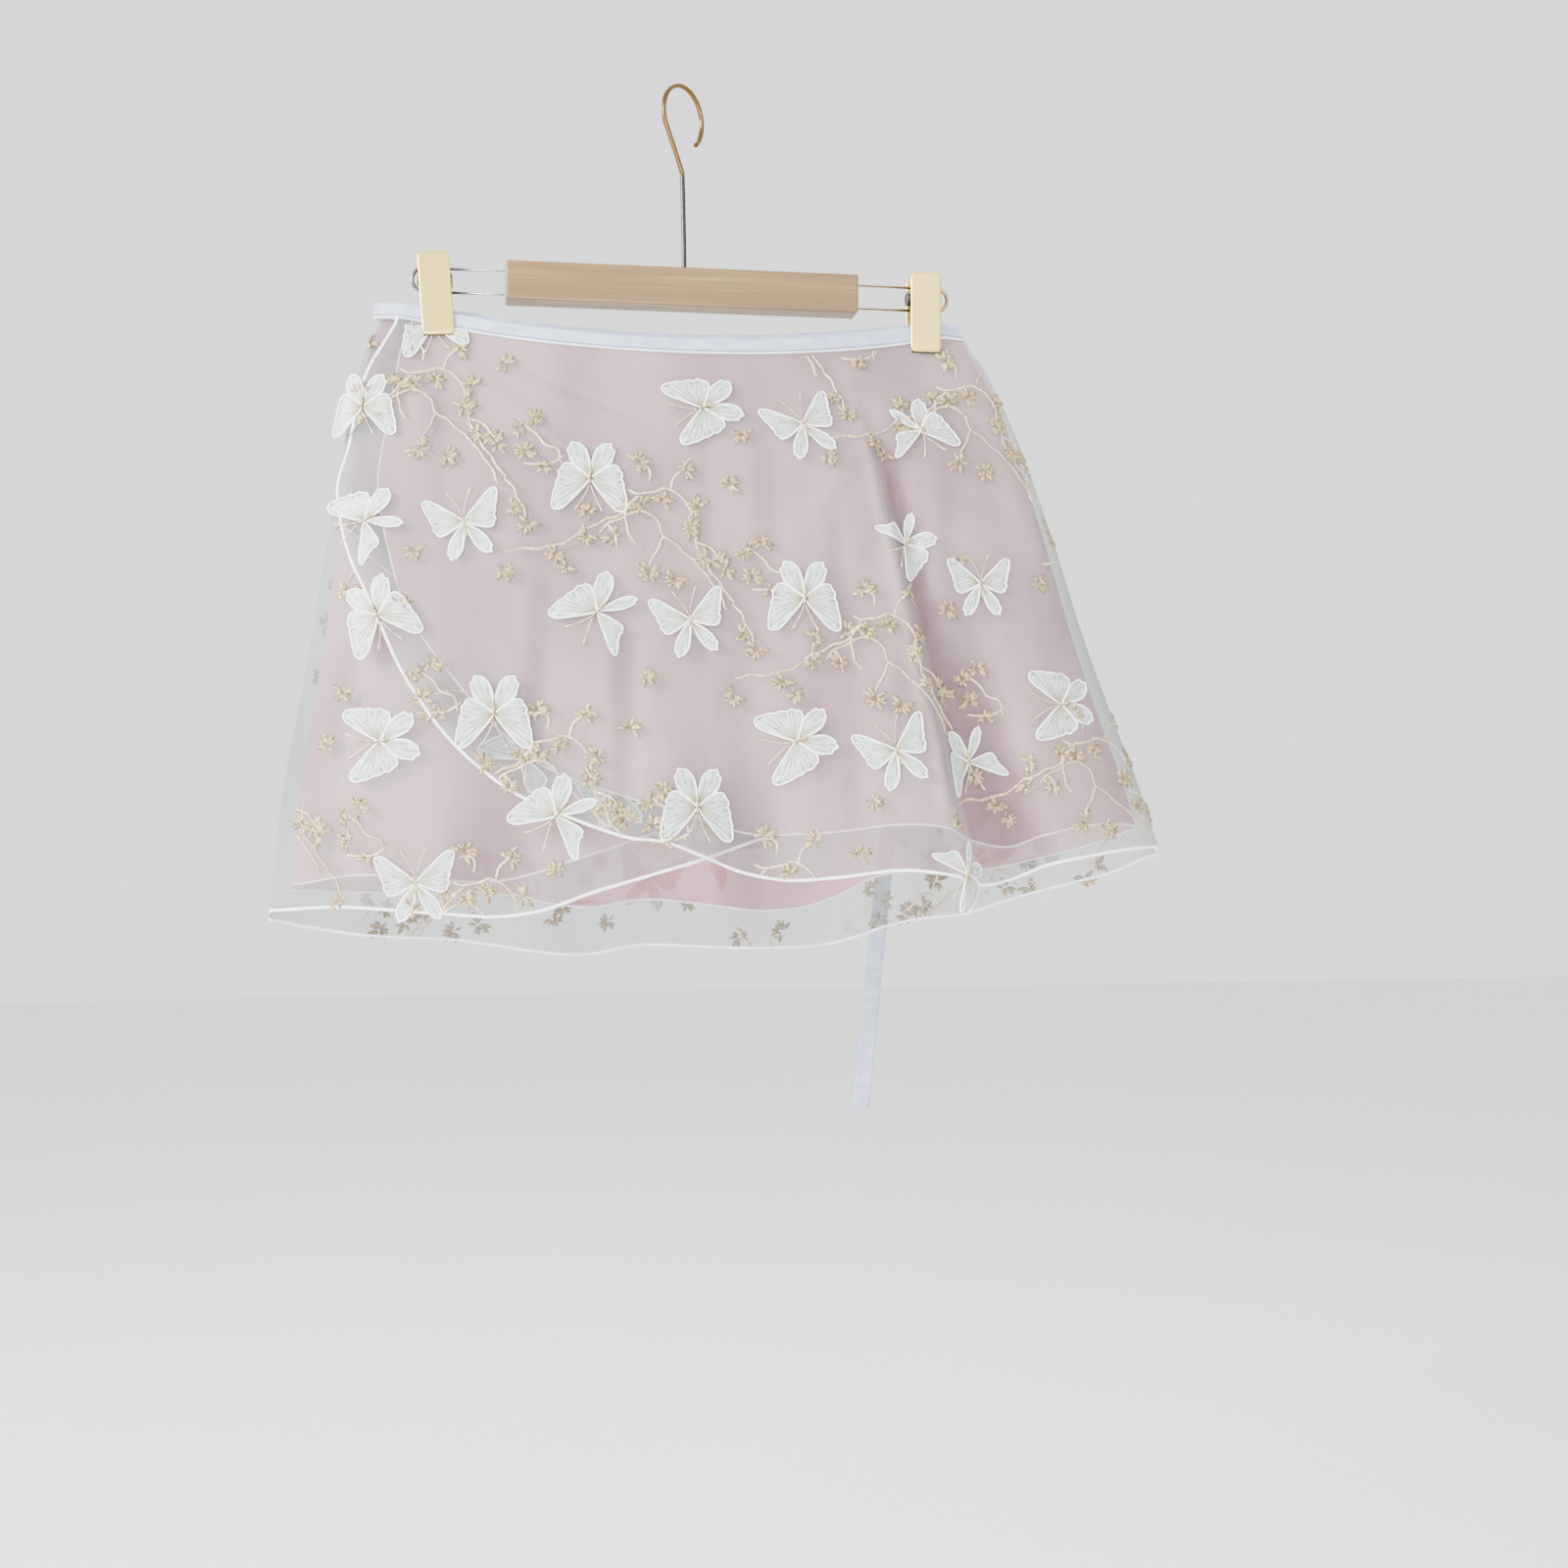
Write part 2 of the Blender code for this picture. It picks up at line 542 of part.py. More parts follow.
def build_clip(side, brass, metal):
    """A clip: two plates that grip the waist, and the spring barrel between them."""
    centre_x, turn = CLIP_CENTRES[side]
    plates = (("front", -CLIP_FRONT_GAP - CLIP_PLATE / 2.0), ("back", CLIP_BACK_GAP + CLIP_PLATE / 2.0))
    for name, y in plates:
        box_object(f"clip_{side}_{name}_plate", (CLIP_WIDTH, CLIP_PLATE, CLIP_HEIGHT),
                   (centre_x, y, -CLIP_DROP), turn, PLATE_EDGE, brass)
    depth = CLIP_FRONT_GAP + CLIP_BACK_GAP - 2.0 * SEAM_GAP
    middle_y = (CLIP_BACK_GAP - CLIP_FRONT_GAP) / 2.0
    middle_z = -(RAIL_DROPS[0] + RAIL_DROPS[1]) / 2.0
    around = np.linspace(0.0, 2.0 * math.pi, 14, endpoint=False)
    ring = np.stack([np.cos(around) * depth / 2.0, np.sin(around) * SPRING_HEIGHT / 2.0], axis=1)
    points = [(x, p[0], p[1]) for x in (-SPRING_LENGTH / 2.0, SPRING_LENGTH / 2.0) for p in ring]
    count = len(ring)
    faces = [(i, (i + 1) % count, count + (i + 1) % count, count + i) for i in range(count)]
    faces += [tuple(range(count - 1, -1, -1)), tuple(range(count, 2 * count))]
    mesh = bpy.data.meshes.new(f"clip_{side}_spring")
    mesh.from_pydata(points, [], faces)
    mesh.shade_smooth()
    mesh.set_sharp_from_angle(angle=math.radians(40.0))
    spring = add_object(f"clip_{side}_spring", mesh, metal)
    spring.location = (centre_x + SPRING_SHIFT, middle_y, middle_z)


def band_faces(turn, angles, low, high, height, below=0.0):
    """The outer and inner points of ribbon that stands on the line of the panels' tops.

    Its wall reaches from low to high, as offsets from the liner of its turn.
    """
    bottom = band_bottom(angles) + below
    level = np.stack([bottom - height, bottom], axis=1)
    wide = np.repeat(angles[:, None], 2, axis=1)
    start = offset_of("liner", turn, wide, level)
    return cloth_point(wide, level, start + high), cloth_point(wide, level, start + low)


def ribbon_object(name, points, finish):
    """A flat tie that hangs: a strip whose face may turn a little as it falls."""
    rows = []
    for a, b in zip(points[:-1], points[1:]):
        for t in (0.0, 0.5):
            rows.append([p + (q - p) * t for p, q in zip(a, b)])
    rows.append(list(points[-1]))
    rows = np.array(rows)
    turn = np.radians(rows[:, 3])[:, None]
    across = np.linspace(-TIE_WIDTH / 2.0, TIE_WIDTH / 2.0, 2)[None, :]
    grid = np.stack([rows[:, 0:1] + across * np.cos(turn), rows[:, 1:2] + across * np.sin(turn),
                     np.repeat(-rows[:, 2:3], 2, axis=1)], axis=-1)
    normal = np.cross(np.gradient(grid, axis=0), np.gradient(grid, axis=1))
    normal *= TIE_WALL / 2.0 / np.linalg.norm(normal, axis=2, keepdims=True)
    return wall_object(name, grid + normal, grid - normal, finish)


def turned(start, end, count):
    """Angles from one to another, given in degrees, in steps between even angles and even lengths."""
    fine = np.radians(np.linspace(start, end, PACE_PLACES))
    pace = np.sqrt((PACE_HALF_WIDTH * np.cos(fine)) ** 2 + (PACE_HALF_DEPTH * np.sin(fine)) ** 2)
    travelled = np.cumsum(pace / pace.sum() + 1.0 / len(fine))
    places = np.linspace(travelled[0], travelled[-1], count + 1)
    return np.interp(places, travelled, fine)


def build_skirt(organza, liner, satin):
    """The six panels, the band in three stretches and the two ties."""
    left, right = -90.0 + SEAM_ANGLE, 90.0 - SEAM_ANGLE
    back_angles = turned(180.0 - right, 180.0 - left, BACK_COLUMNS)
    for layer, finish in (("organza", organza), ("liner", liner)):
        top_angles = turned(TOP_CORNER[layer], right, TOP_COLUMNS)
        under_angles = turned(left, UNDER_CORNER[layer], UNDER_COLUMNS)
        wall_object(f"{layer}_top_front", *panel_faces(layer, "top", top_angles), finish)
        wall_object(f"{layer}_under_front", *panel_faces(layer, "under", under_angles), finish)
        wall_object(f"{layer}_back", *panel_faces(layer, "back", back_angles), finish)
    bands = (("top_front", "top", turned(left, right, TOP_COLUMNS)),
             ("under_front", "under", turned(left, UNDER_CORNER["organza"], UNDER_COLUMNS)),
             ("back", "back", back_angles))
    low = -WALL_AT_WAIST / 2.0
    high = PAIR_AT_WAIST + WALL_AT_WAIST / 2.0
    for name, turn, angles in bands:
        wall_object(f"band_{name}", *band_faces(turn, angles, low, high, BAND_HEIGHT), satin)
    near = high + SEAM_GAP
    wall_object("tie_back_run", *band_faces("back", turned(TIE_RUN_END, 180.0 - left, TIE_COLUMNS), near,
                                            near + TIE_WALL, TIE_WIDTH, TIE_BELOW_BAND), satin)
    ribbon_object("tie_hanging_end", HANGING_TIE, satin)
    ribbon_object("tie_inner_end", INNER_TIE, satin)


def main():
    """Clears the scene and builds the hanger and the skirt."""
    for item in list(bpy.data.objects):
        bpy.data.objects.remove(item, do_unlink=True)
    organza = material("embroidered_organza", (0.72, 0.72, 0.68), 0.55, alpha=0.55)
    liner = material("pink_liner", (0.62, 0.44, 0.47), 0.60)
    satin = material("satin_ribbon", (0.62, 0.66, 0.76), 0.35)
    wood = material("beech_bar", (0.62, 0.46, 0.30), 0.50)
    metal = material("gilt_wire", (0.42, 0.36, 0.24), 0.25, metallic=1.0)
    brass = material("pale_brass", (0.90, 0.82, 0.55), 0.30, metallic=0.9)
    build_hanger(wood, metal, brass)
    build_skirt(organza, liner, satin)


main()
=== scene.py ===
"""A short wrap ballet skirt on its clip hanger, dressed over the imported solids.

The cloth is two sheer layers, an embroidered organza over a pink liner, bound in satin ribbon at the waist.
Each panel is one surface in the solid's own form. The embroidery, the rolled hems, the ribbon and the ties
are pieces of their own that lie on that form.

Metres, +Z up, +X along the hanger's bar, the front towards -Y, the origin at the inside top of the hook.
Round the skirt a place is an angle from the middle of the front: +90 degrees at the right side, 180 at the
middle of the back. Down the skirt it is the drop below the origin.
"""

import logging
import math
from dataclasses import dataclass
from enum import Enum, IntEnum
from typing import Any, Callable, NamedTuple, Optional, Sequence, Union

import bpy
import numpy as np
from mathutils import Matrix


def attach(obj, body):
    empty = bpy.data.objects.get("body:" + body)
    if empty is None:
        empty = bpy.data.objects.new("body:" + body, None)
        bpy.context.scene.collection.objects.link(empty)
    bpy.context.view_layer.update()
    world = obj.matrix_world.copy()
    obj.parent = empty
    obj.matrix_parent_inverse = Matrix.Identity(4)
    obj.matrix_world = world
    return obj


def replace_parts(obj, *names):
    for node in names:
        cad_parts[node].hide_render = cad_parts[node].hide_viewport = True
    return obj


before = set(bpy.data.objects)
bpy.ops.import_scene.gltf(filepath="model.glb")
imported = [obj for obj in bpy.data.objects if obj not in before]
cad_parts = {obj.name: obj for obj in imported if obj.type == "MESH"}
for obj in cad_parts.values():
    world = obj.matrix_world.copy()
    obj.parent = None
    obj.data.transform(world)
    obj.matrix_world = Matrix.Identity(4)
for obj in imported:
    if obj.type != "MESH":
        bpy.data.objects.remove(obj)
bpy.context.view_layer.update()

Array = np.ndarray
Material = bpy.types.Material
Item = bpy.types.Object
Triple = tuple[float, float, float]
log = logging.getLogger("wrap_skirt")


# Materials


class Signal:
    """A value or colour in a material. Sums and products of values add Math nodes."""

    def __init__(self, board: "Board", socket: bpy.types.NodeSocket) -> None:
        """Keeps the socket and the board that it is on."""
        self.board = board
        self.socket = socket

    def _maths(self, operation: str, first: "Value", second: "Value" = 0.0) -> "Signal":
        """Adds one Math node."""
        return self.board.node("ShaderNodeMath", {"operation": operation}, {0: first, 1: second})

    def __add__(self, other: "Value") -> "Signal":
        """The sum."""
        return self._maths("ADD", self, other)

    def __radd__(self, other: "Value") -> "Signal":
        """The sum."""
        return self._maths("ADD", other, self)

    def __sub__(self, other: "Value") -> "Signal":
        """The difference."""
        return self._maths("SUBTRACT", self, other)

    def __rsub__(self, other: "Value") -> "Signal":
        """The difference."""
        return self._maths("SUBTRACT", other, self)

    def __mul__(self, other: "Value") -> "Signal":
        """The product."""
        return self._maths("MULTIPLY", self, other)

    def __rmul__(self, other: "Value") -> "Signal":
        """The product."""
        return self._maths("MULTIPLY", other, self)

    def __pow__(self, other: "Value") -> "Signal":
        """The power."""
        return self._maths("POWER", self, other)

    def sine(self) -> "Signal":
        """The sine of the value."""
        return self._maths("SINE", self)

    def rise(self, low: float, high: float) -> "Signal":
        """Goes smoothly from 0 at low to 1 at high."""
        return self.board.node("ShaderNodeMapRange", {"interpolation_type": "SMOOTHSTEP"},
                               {"Value": self, "From Min": low, "From Max": high})


Value = Union[Signal, float, Sequence[float]]


class Board:
    """The node board of one material, around its Principled shader."""

    def __init__(self, name: str) -> None:
        """Starts a material.

        Args:
            name: the material's name.
        """
        self.material = bpy.data.materials.new(name)
        self.material.use_nodes = True
        self.tree = self.material.node_tree
        self.shader = self.tree.nodes["Principled BSDF"]

    def node(self, kind: str, settings: Optional[dict[str, Any]] = None,
             inputs: Optional[dict[Union[int, str], Value]] = None, output: int = 0) -> Signal:
        """Adds a node.

        Args:
            kind: the node's type.
            settings: its own options, set first.
            inputs: values or signals, by socket index, identifier or name.
            output: which output is wanted.

        Returns:
            That output.
        """
        made = self.tree.nodes.new(kind)
        for name, value in (settings or {}).items():
            setattr(made, name, value)
        for key, value in (inputs or {}).items():
            socket = self._socket(made, key)
            if isinstance(value, Signal):
                self.tree.links.new(value.socket, socket)
            else:
                socket.default_value = value
        return Signal(self, made.outputs[output])

    @staticmethod
    def _socket(made: bpy.types.Node, key: Union[int, str]) -> bpy.types.NodeSocket:
        """Finds an input.

        Args:
            made: the node.
            key: the input's index, identifier or name.

        Returns:
            The input.
        """
        if isinstance(key, int):
            return made.inputs[key]
        for socket in made.inputs:
            if socket.identifier == key:
                return socket
        return made.inputs[key]

    def blend(self, share: Value, first: Value, second: Value) -> Signal:
        """Mixes two colours.

        Args:
            share: how much of the second, from 0 to 1.
            first: the first colour.
            second: the second colour.

        Returns:
            The colour.
        """
        first = first if isinstance(first, Signal) else (*first, 1.0)
        second = second if isinstance(second, Signal) else (*second, 1.0)
        return self.node("ShaderNodeMix", {"data_type": "RGBA"},
                         {"Factor_Float": share, "A_Color": first, "B_Color": second}, output=2)

    def here(self, scale: Sequence[float] = (1.0, 1.0, 1.0)) -> Signal:
        """The place on the object in metres, times a scale along each axis."""
        place = self.node("ShaderNodeTexCoord", output=3)
        return self.node("ShaderNodeMapping", {}, {"Vector": place, "Scale": tuple(scale)})

    def chart(self, name: str) -> Signal:
        """The place on a piece's own map."""
        return self.node("ShaderNodeUVMap", {"uv_map": name})

    def on_surface(self, name: str) -> tuple[Signal, Signal]:
        """The two coordinates of a piece's own map."""
        split = self.node("ShaderNodeSeparateXYZ", {}, {0: self.chart(name)})
        return split, Signal(self, split.socket.node.outputs[1])

    def marked(self, name: str) -> Signal:
        """The value that a mesh keeps for every point under a name."""
        return self.node("ShaderNodeAttribute", {"attribute_name": name}, output=2)

    def noise(self, place: Signal, scale: float, detail: float = 2.0) -> Signal:
        """A soft random value from 0 to 1."""
        return self.node("ShaderNodeTexNoise", {}, {"Vector": place, "Scale": scale, "Detail": detail})

    def relief(self, height: Signal, depth: float, strength: float = 1.0) -> Signal:
        """The normal of a surface with fine relief.

        Args:
            height: the relief, from 0 to 1.
            depth: how deep 1 is, in metres.
            strength: how much of it is used.

        Returns:
            The normal.
        """
        return self.node("ShaderNodeBump", {}, {"Height": height, "Distance": depth, "Strength": strength})

    def finish(self, **inputs: Value) -> Material:
        """Sets the Principled shader's inputs.

        Args:
            inputs: a number, colour or signal for each input, its name written with _ for a space.

        Returns:
            The material.
        """
        for key, value in inputs.items():
            socket = self.shader.inputs[key.replace("_", " ")]
            if isinstance(value, Signal):
                self.tree.links.new(value.socket, socket)
            elif hasattr(value, "__len__"):
                socket.default_value = (*value, 1.0)
            else:
                socket.default_value = value
        return self.material


@dataclass(frozen=True)
class VeilFinish:
    """Sheer woven cloth: a plain weave that lets what is behind it through, less so where it is steep.

    Its colour goes to clouded in patches, and to deep, a painted shade, in troughs and creases. cover is how
    much it hides, veil how much more where it turns away, and pitch the width of two threads in metres.
    """

    name: str
    colour: Triple
    clouded: Triple
    deep: Triple
    cover: float
    veil: float
    pitch: float
    sheen: float
    weave_share: float = 0.06
    slub_share: float = 0.08
    relief: float = 0.00012

    def make(self) -> Material:
        """Builds the material.

        Returns:
            The material.
        """
        board = Board(self.name)
        across, down = board.on_surface("cloth")
        turns = 2.0 * math.pi / self.pitch
        weave = (across * turns).sine() * (down * turns).sine() * 0.5 + 0.5
        cloud = board.noise(board.here((1.0, 1.0, 0.45)), 17.0)
        slub = board.noise(board.here((1.0, 1.0, 0.12)), 260.0, 3.0)
        open_cloth = board.blend(cloud.rise(0.36, 0.62), self.clouded, self.colour)
        # Painted shade: the colour darkens to deep where the trough attribute marks a fold's trough or a
        # crease.
        colour = board.blend(board.marked("trough"), open_cloth, self.deep)
        plain = self.cover - (self.weave_share + self.slub_share) / 2.0
        turned = board.marked("steep") ** 2.0 * self.veil
        cover = weave * self.weave_share + slub * self.slub_share + plain + turned
        normal = board.relief(weave * 0.6 + slub * 0.4, self.relief, 0.5)
        return board.finish(Base_Color=colour, Roughness=0.62, Alpha=cover, Normal=normal,
                            Sheen_Weight=self.sheen, Sheen_Roughness=0.4, Specular_IOR_Level=0.25)


@dataclass(frozen=True)
class StitchFinish:
    """Rayon thread laid side by side: satin stitch, whose threads run along the piece's own map.

    Its colour goes to shade between threads, as far as groove says, and to root near the body. thread is how
    many streaks there are to one unit of the map.
    """

    name: str
    colour: Triple
    shade: Triple
    root: Triple
    groove: float
    thread: float
    relief: float = 0.00016

    def make(self) -> Material:
        """Builds the material. The map's first coordinate counts threads, its second goes root to tip.

        Returns:
            The material.
        """
        board = Board(self.name)
        along = board.on_surface("thread")[1]
        drawn = board.node("ShaderNodeMapping", {}, {"Vector": board.chart("thread"),
                                                     "Scale": (self.thread, 0.9, 1.0)})
        strands = board.noise(drawn, 3.0, 3.0)
        shadow = (1.0 - strands).rise(0.42, 0.64) * self.groove
        grey = board.blend(shadow, self.colour, self.shade)
        rooted = board.blend((1.0 - along).rise(0.38, 0.92) * 0.9, grey, self.root)
        normal = board.relief(strands, self.relief, 0.7)
        return board.finish(Base_Color=rooted, Roughness=0.42, Normal=normal, Sheen_Weight=0.25,
                            Sheen_Roughness=0.35)


@dataclass(frozen=True)
class GiltThreadFinish:
    """Pale gold embroidery thread, light and dark from stitch to stitch."""

    name: str
    dark: Triple
    light: Triple
    relief: float = 0.00014

    def make(self) -> Material:
        """Builds the material.

        Returns:
            The material.
        """
        board = Board(self.name)
        across, along = board.on_surface("thread")
        patch = board.noise(board.here(), 520.0, 2.0)
        strands = (across * 9.0 + along * 40.0).sine() * 0.5 + 0.5
        colour = board.blend((patch * 0.8 + strands * 0.2).rise(0.38, 0.62), self.dark, self.light)
        normal = board.relief(strands, self.relief, 0.6)
        return board.finish(Base_Color=colour, Roughness=0.38, Metallic=0.15, Normal=normal)


@dataclass(frozen=True)
class SatinFinish:
    """Satin ribbon: smooth, with a soft gloss along its length and a fine cross rib.

    Where it is stitched down, a painted highlight runs along the ridge of its lower edge and a painted shade
    line along the stitched groove above it.
    """

    name: str
    stitched: bool = False
    colour: Triple = (0.44, 0.49, 0.62)
    shade: Triple = (0.34, 0.39, 0.52)
    # edge is the painted highlight's colour, and line_shade sets how dark the painted shade line is.
    edge: Triple = (0.90, 0.91, 0.94)
    rib_pitch: float = 0.0006
    painted_highlight_ends: tuple[float, float] = (0.0008, 0.0012)
    painted_shade_starts: tuple[float, float] = (0.0012, 0.0016)
    painted_shade_ends: tuple[float, float] = (0.0022, 0.0027)
    line_shade: float = 0.45
    relief: float = 0.00018

    def make(self) -> Material:
        """Builds the material.

        Returns:
            The material.
        """
        board = Board(self.name)
        across, along = board.on_surface("cloth")
        rib = (along * (2.0 * math.pi / self.rib_pitch)).sine() * 0.5 + 0.5
        soft = board.noise(board.here((1.0, 1.0, 3.0)), 90.0, 2.0)
        colour = board.blend(soft.rise(0.3, 0.7), self.shade, self.colour)
        if self.stitched:
            # Painted highlight on the lower edge's ridge, and painted shade in the stitched groove above it.
            line = across.rise(*self.painted_shade_starts) * (1.0 - across.rise(*self.painted_shade_ends))
            colour = board.blend((1.0 - across.rise(*self.painted_highlight_ends)) * 0.8, colour, self.edge)
            colour = board.blend(line * 0.75, colour, [self.line_shade * c for c in self.shade])
        gloss = soft * 0.14 + 0.27
        normal = board.relief(rib * 0.4 + soft * 0.6, self.relief, 0.5)
        return board.finish(Base_Color=colour, Roughness=gloss, Normal=normal, Sheen_Weight=0.3,
                            Sheen_Roughness=0.3, Anisotropic=0.5)


@dataclass(frozen=True)
class BeechFinish:
    """Lacquered beech with its grain along X: fine dark flecks and slow bands."""

    name: str = "lacquered_beech"
    light: Triple = (0.265, 0.160, 0.058)
    dark: Triple = (0.130, 0.071, 0.023)
    fleck: Triple = (0.075, 0.038, 0.012)
    band_scale: Triple = (2.2, 30.0, 55.0)
    line_scale: Triple = (5.0, 260.0, 420.0)
    pore_scale: Triple = (38.0, 900.0, 900.0)
    relief: float = 0.00010

    def make(self) -> Material:
        """Builds the material.

        Returns:
            The material.
        """
        board = Board(self.name)
        band = board.noise(board.here(self.band_scale), 1.6, 3.0)
        line = board.noise(board.here(self.line_scale), 1.5, 3.0)
        pore = board.noise(board.here(self.pore_scale), 1.0, 1.0)
        wood = board.blend(band.rise(0.35, 0.65), self.dark, self.light)
        grain = board.blend(line.rise(0.42, 0.62) * 0.85, wood, self.dark)
        flecked = board.blend(pore.rise(0.66, 0.74) * 0.55, grain, self.fleck)
        normal = board.relief(line * 0.6 + pore * 0.4, self.relief, 0.5)
        return board.finish(Base_Color=flecked, Roughness=line * 0.18 + 0.36, Normal=normal,
                            Coat_Weight=0.15, Coat_Roughness=0.25)


@dataclass(frozen=True)
class MetalFinish:
    """Plated metal, brushed very finely, with a second colour that takes over between two heights."""

    name: str
    colour: Triple
    roughness: float
    metallic: float = 1.0
    upper: Optional[Triple] = None
    change: tuple[float, float] = (-0.060, -0.050)
    worn_shade: float = 0.72
    relief: float = 0.00006

    def make(self) -> Material:
        """Builds the material.

        Returns:
            The material.
        """
        board = Board(self.name)
        worn = board.noise(board.here(), 75.0, 3.0)
        brushed = board.noise(board.here((1.0, 1.0, 22.0)), 300.0, 2.0)
        dull = [self.worn_shade * c for c in self.colour]
        colour = board.blend(worn.rise(0.3, 0.75) * 0.3, self.colour, dull)
        if self.upper is not None:
            place = board.node("ShaderNodeSeparateXYZ", {}, {0: board.here()}, output=2)
            colour = board.blend(place.rise(*self.change), colour, self.upper)
        normal = board.relief(brushed, self.relief, 0.4)
        return board.finish(Base_Color=colour, Roughness=worn * 0.12 + (self.roughness - 0.05),
                            Metallic=self.metallic, Normal=normal)


@dataclass(frozen=True)
class PaperFinish:
    """The pale matt floor."""

    name: str = "pale_floor"
    dark: Triple = (0.80, 0.80, 0.80)
    light: Triple = (0.84, 0.84, 0.84)

    def make(self) -> Material:
        """Builds the material.

        Returns:
            The material.
        """
        board = Board(self.name)
        colour = board.blend(board.noise(board.here(), 3.0, 2.0), self.dark, self.light)
        return board.finish(Base_Color=colour, Roughness=0.9, Specular_IOR_Level=0.1)


# Meshes


class Patch(NamedTuple):
    """A piece of surface: its points, its four-sided faces and a place on its map for every point."""

    points: Array
    faces: Array
    places: Array
    finish: int = 0


def smooth(t: Array) -> Array:
    """Rises from 0 to 1 with level ends: three t squared less two t cubed."""
    t = np.clip(t, 0.0, 1.0)
    return t * t * (3.0 - 2.0 * t)


def run_along(path: Array) -> Array:
    """The distance run to each place on a path."""
    return np.concatenate([[0.0], np.cumsum(np.linalg.norm(np.diff(path, axis=0), axis=1))])


def signed_power(value: Array, power: float) -> Array:
    """The value's size to a power, with the value's own sign. It squares off a sine."""
    return np.sign(value) * np.abs(value) ** power


def grid_faces(columns: int, rows: int, ring: bool = False) -> Array:
    """Faces of a grid whose points are numbered column by column.

    Args:
        columns: how many columns of points.
        rows: how many points in a column.
        ring: whether each column closes on itself.

    Returns:
        The four corners of each face.
    """
    index = np.arange(columns * rows).reshape(columns, rows)
    beyond = np.roll(index, -1, axis=1)
    last = rows if ring else rows - 1
    corners = (index[:-1, :last], index[1:, :last], beyond[1:, :last], beyond[:-1, :last])
    return np.stack([c.ravel() for c in corners], axis=1)


def end_faces(ring: Array) -> Array:
    """Closes a ring of an even number of points with four-sided faces that share its first point."""
    steps = range(1, len(ring) - 2, 2)
    return np.array([(ring[0], ring[k], ring[k + 1], ring[k + 2]) for k in steps])


def everywhere(direction: Sequence[float], path: Array) -> Array:
    """One direction for every place on a path."""
    return np.tile(np.array(direction), (len(path), 1))


Swell = Callable[[Array, Array], Array]


def round_section(radius: Swell, flatness: float) -> Callable[[Array, Array], tuple[Array, Array]]:
    """A round section pressed down: the radius times the angle's cosine, and a share of it times the sine.

    Args:
        radius: gives the radius from the distance run and the angle.
        flatness: the section's height over its width.

    Returns:
        The profile of a tube.
    """
    return lambda run, around: (radius(run, around) * np.cos(around),
                                radius(run, around) * flatness * np.sin(around))


def tube(path: Array, outward: Array, profile: Callable[[Array, Array], tuple[Array, Array]],
         sides: int) -> Patch:
    """A profile carried along a path, closed at both ends.

    At each place the section stands square to the path. Its two axes are the outward direction, made square
    to the path, and the direction across both.

    Args:
        path: the places it runs through, (n, 3).
        outward: a direction away from the cloth at each place, (n, 3).
        profile: gives the section's two offsets, across and outward, from the distance run and the angle.
        sides: how many points the section has, an even number.

    Returns:
        The closed piece. Its map is (the angle in turns, the distance run in metres).
    """
    ahead = np.gradient(path, axis=0)
    ahead /= np.linalg.norm(ahead, axis=1, keepdims=True) + 1e-12
    outward = outward - np.sum(outward * ahead, axis=1, keepdims=True) * ahead
    outward /= np.linalg.norm(outward, axis=1, keepdims=True) + 1e-12
    across = np.cross(ahead, outward)
    run = run_along(path)
    around = np.linspace(0.0, 2.0 * math.pi, sides, endpoint=False)
    wide, high = np.broadcast_arrays(*profile(run[:, None], around[None, :]))
    points = path[:, None, :] + wide[..., None] * across[:, None, :] + high[..., None] * outward[:, None, :]
    places = np.stack(np.broadcast_arrays(around[None, :] / (2.0 * math.pi), run[:, None]), axis=-1)
    count = len(path)
    faces = grid_faces(count, sides, ring=True)
    first = np.arange(sides)
    last = first + (count - 1) * sides
    faces = np.vstack([faces, end_faces(first[::-1]), end_faces(last)])
    return outside_out(Patch(points.reshape(-1, 3), faces, places.reshape(-1, 2)))


def slab(outer: Array, inner: Array, places: Array, finish: int = 0) -> Patch:
    """A closed wall between two grids of points that share their numbering.

    Args:
        outer: the outer face, (columns, rows, 3).
        inner: the inner face, the same shape.
        places: the map of both faces, (columns, rows, 2).
        finish: which of the piece's materials it takes.

    Returns:
        The closed piece.
    """
    columns, rows = outer.shape[:2]
    index = np.arange(columns * rows).reshape(columns, rows)
    rim = np.concatenate([index[:, 0], index[-1, 1:], index[-2::-1, -1], index[0, -2:0:-1]])
    after = np.roll(rim, -1)
    shift = columns * rows
    front = grid_faces(columns, rows)
    walls = np.stack([after, rim, rim + shift, after + shift], axis=1)
    faces = np.vstack([front, front[:, ::-1] + shift, walls])
    points = np.vstack([outer.reshape(-1, 3), inner.reshape(-1, 3)])
    flat = places.reshape(-1, 2)
    return outside_out(Patch(points, faces, np.vstack([flat, flat]), finish))


def outside_out(patch: Patch) -> Patch:
    """Turns a closed piece's faces so that they point outwards, by the sign of the volume they close.

    Args:
        patch: the piece.

    Returns:
        The piece, its faces turned round if they pointed inwards.
    """
    corner = patch.points[patch.faces]
    middle = patch.points.mean(axis=0)
    a, b, c, d = (corner[:, i] - middle for i in range(4))
    volume = np.einsum("ij,ij->", a, np.cross(b, c)) + np.einsum("ij,ij->", a, np.cross(c, d))
    return patch if volume >= 0.0 else patch._replace(faces=patch.faces[:, ::-1])


def joined(patches: Sequence[Patch]) -> tuple[Array, Array, Array, Array]:
    """Puts several pieces into one.

    Args:
        patches: the pieces.

    Returns:
        Their points, faces, places and face finishes, each in one list.
    """
    starts = np.cumsum([0] + [len(p.points) for p in patches])[:-1]
    points = np.vstack([p.points for p in patches])
    faces = np.vstack([p.faces + s for p, s in zip(patches, starts)])
    places = np.vstack([p.places for p in patches])
    finishes = np.concatenate([np.full(len(p.faces), p.finish) for p in patches])
    return points, faces, places, finishes


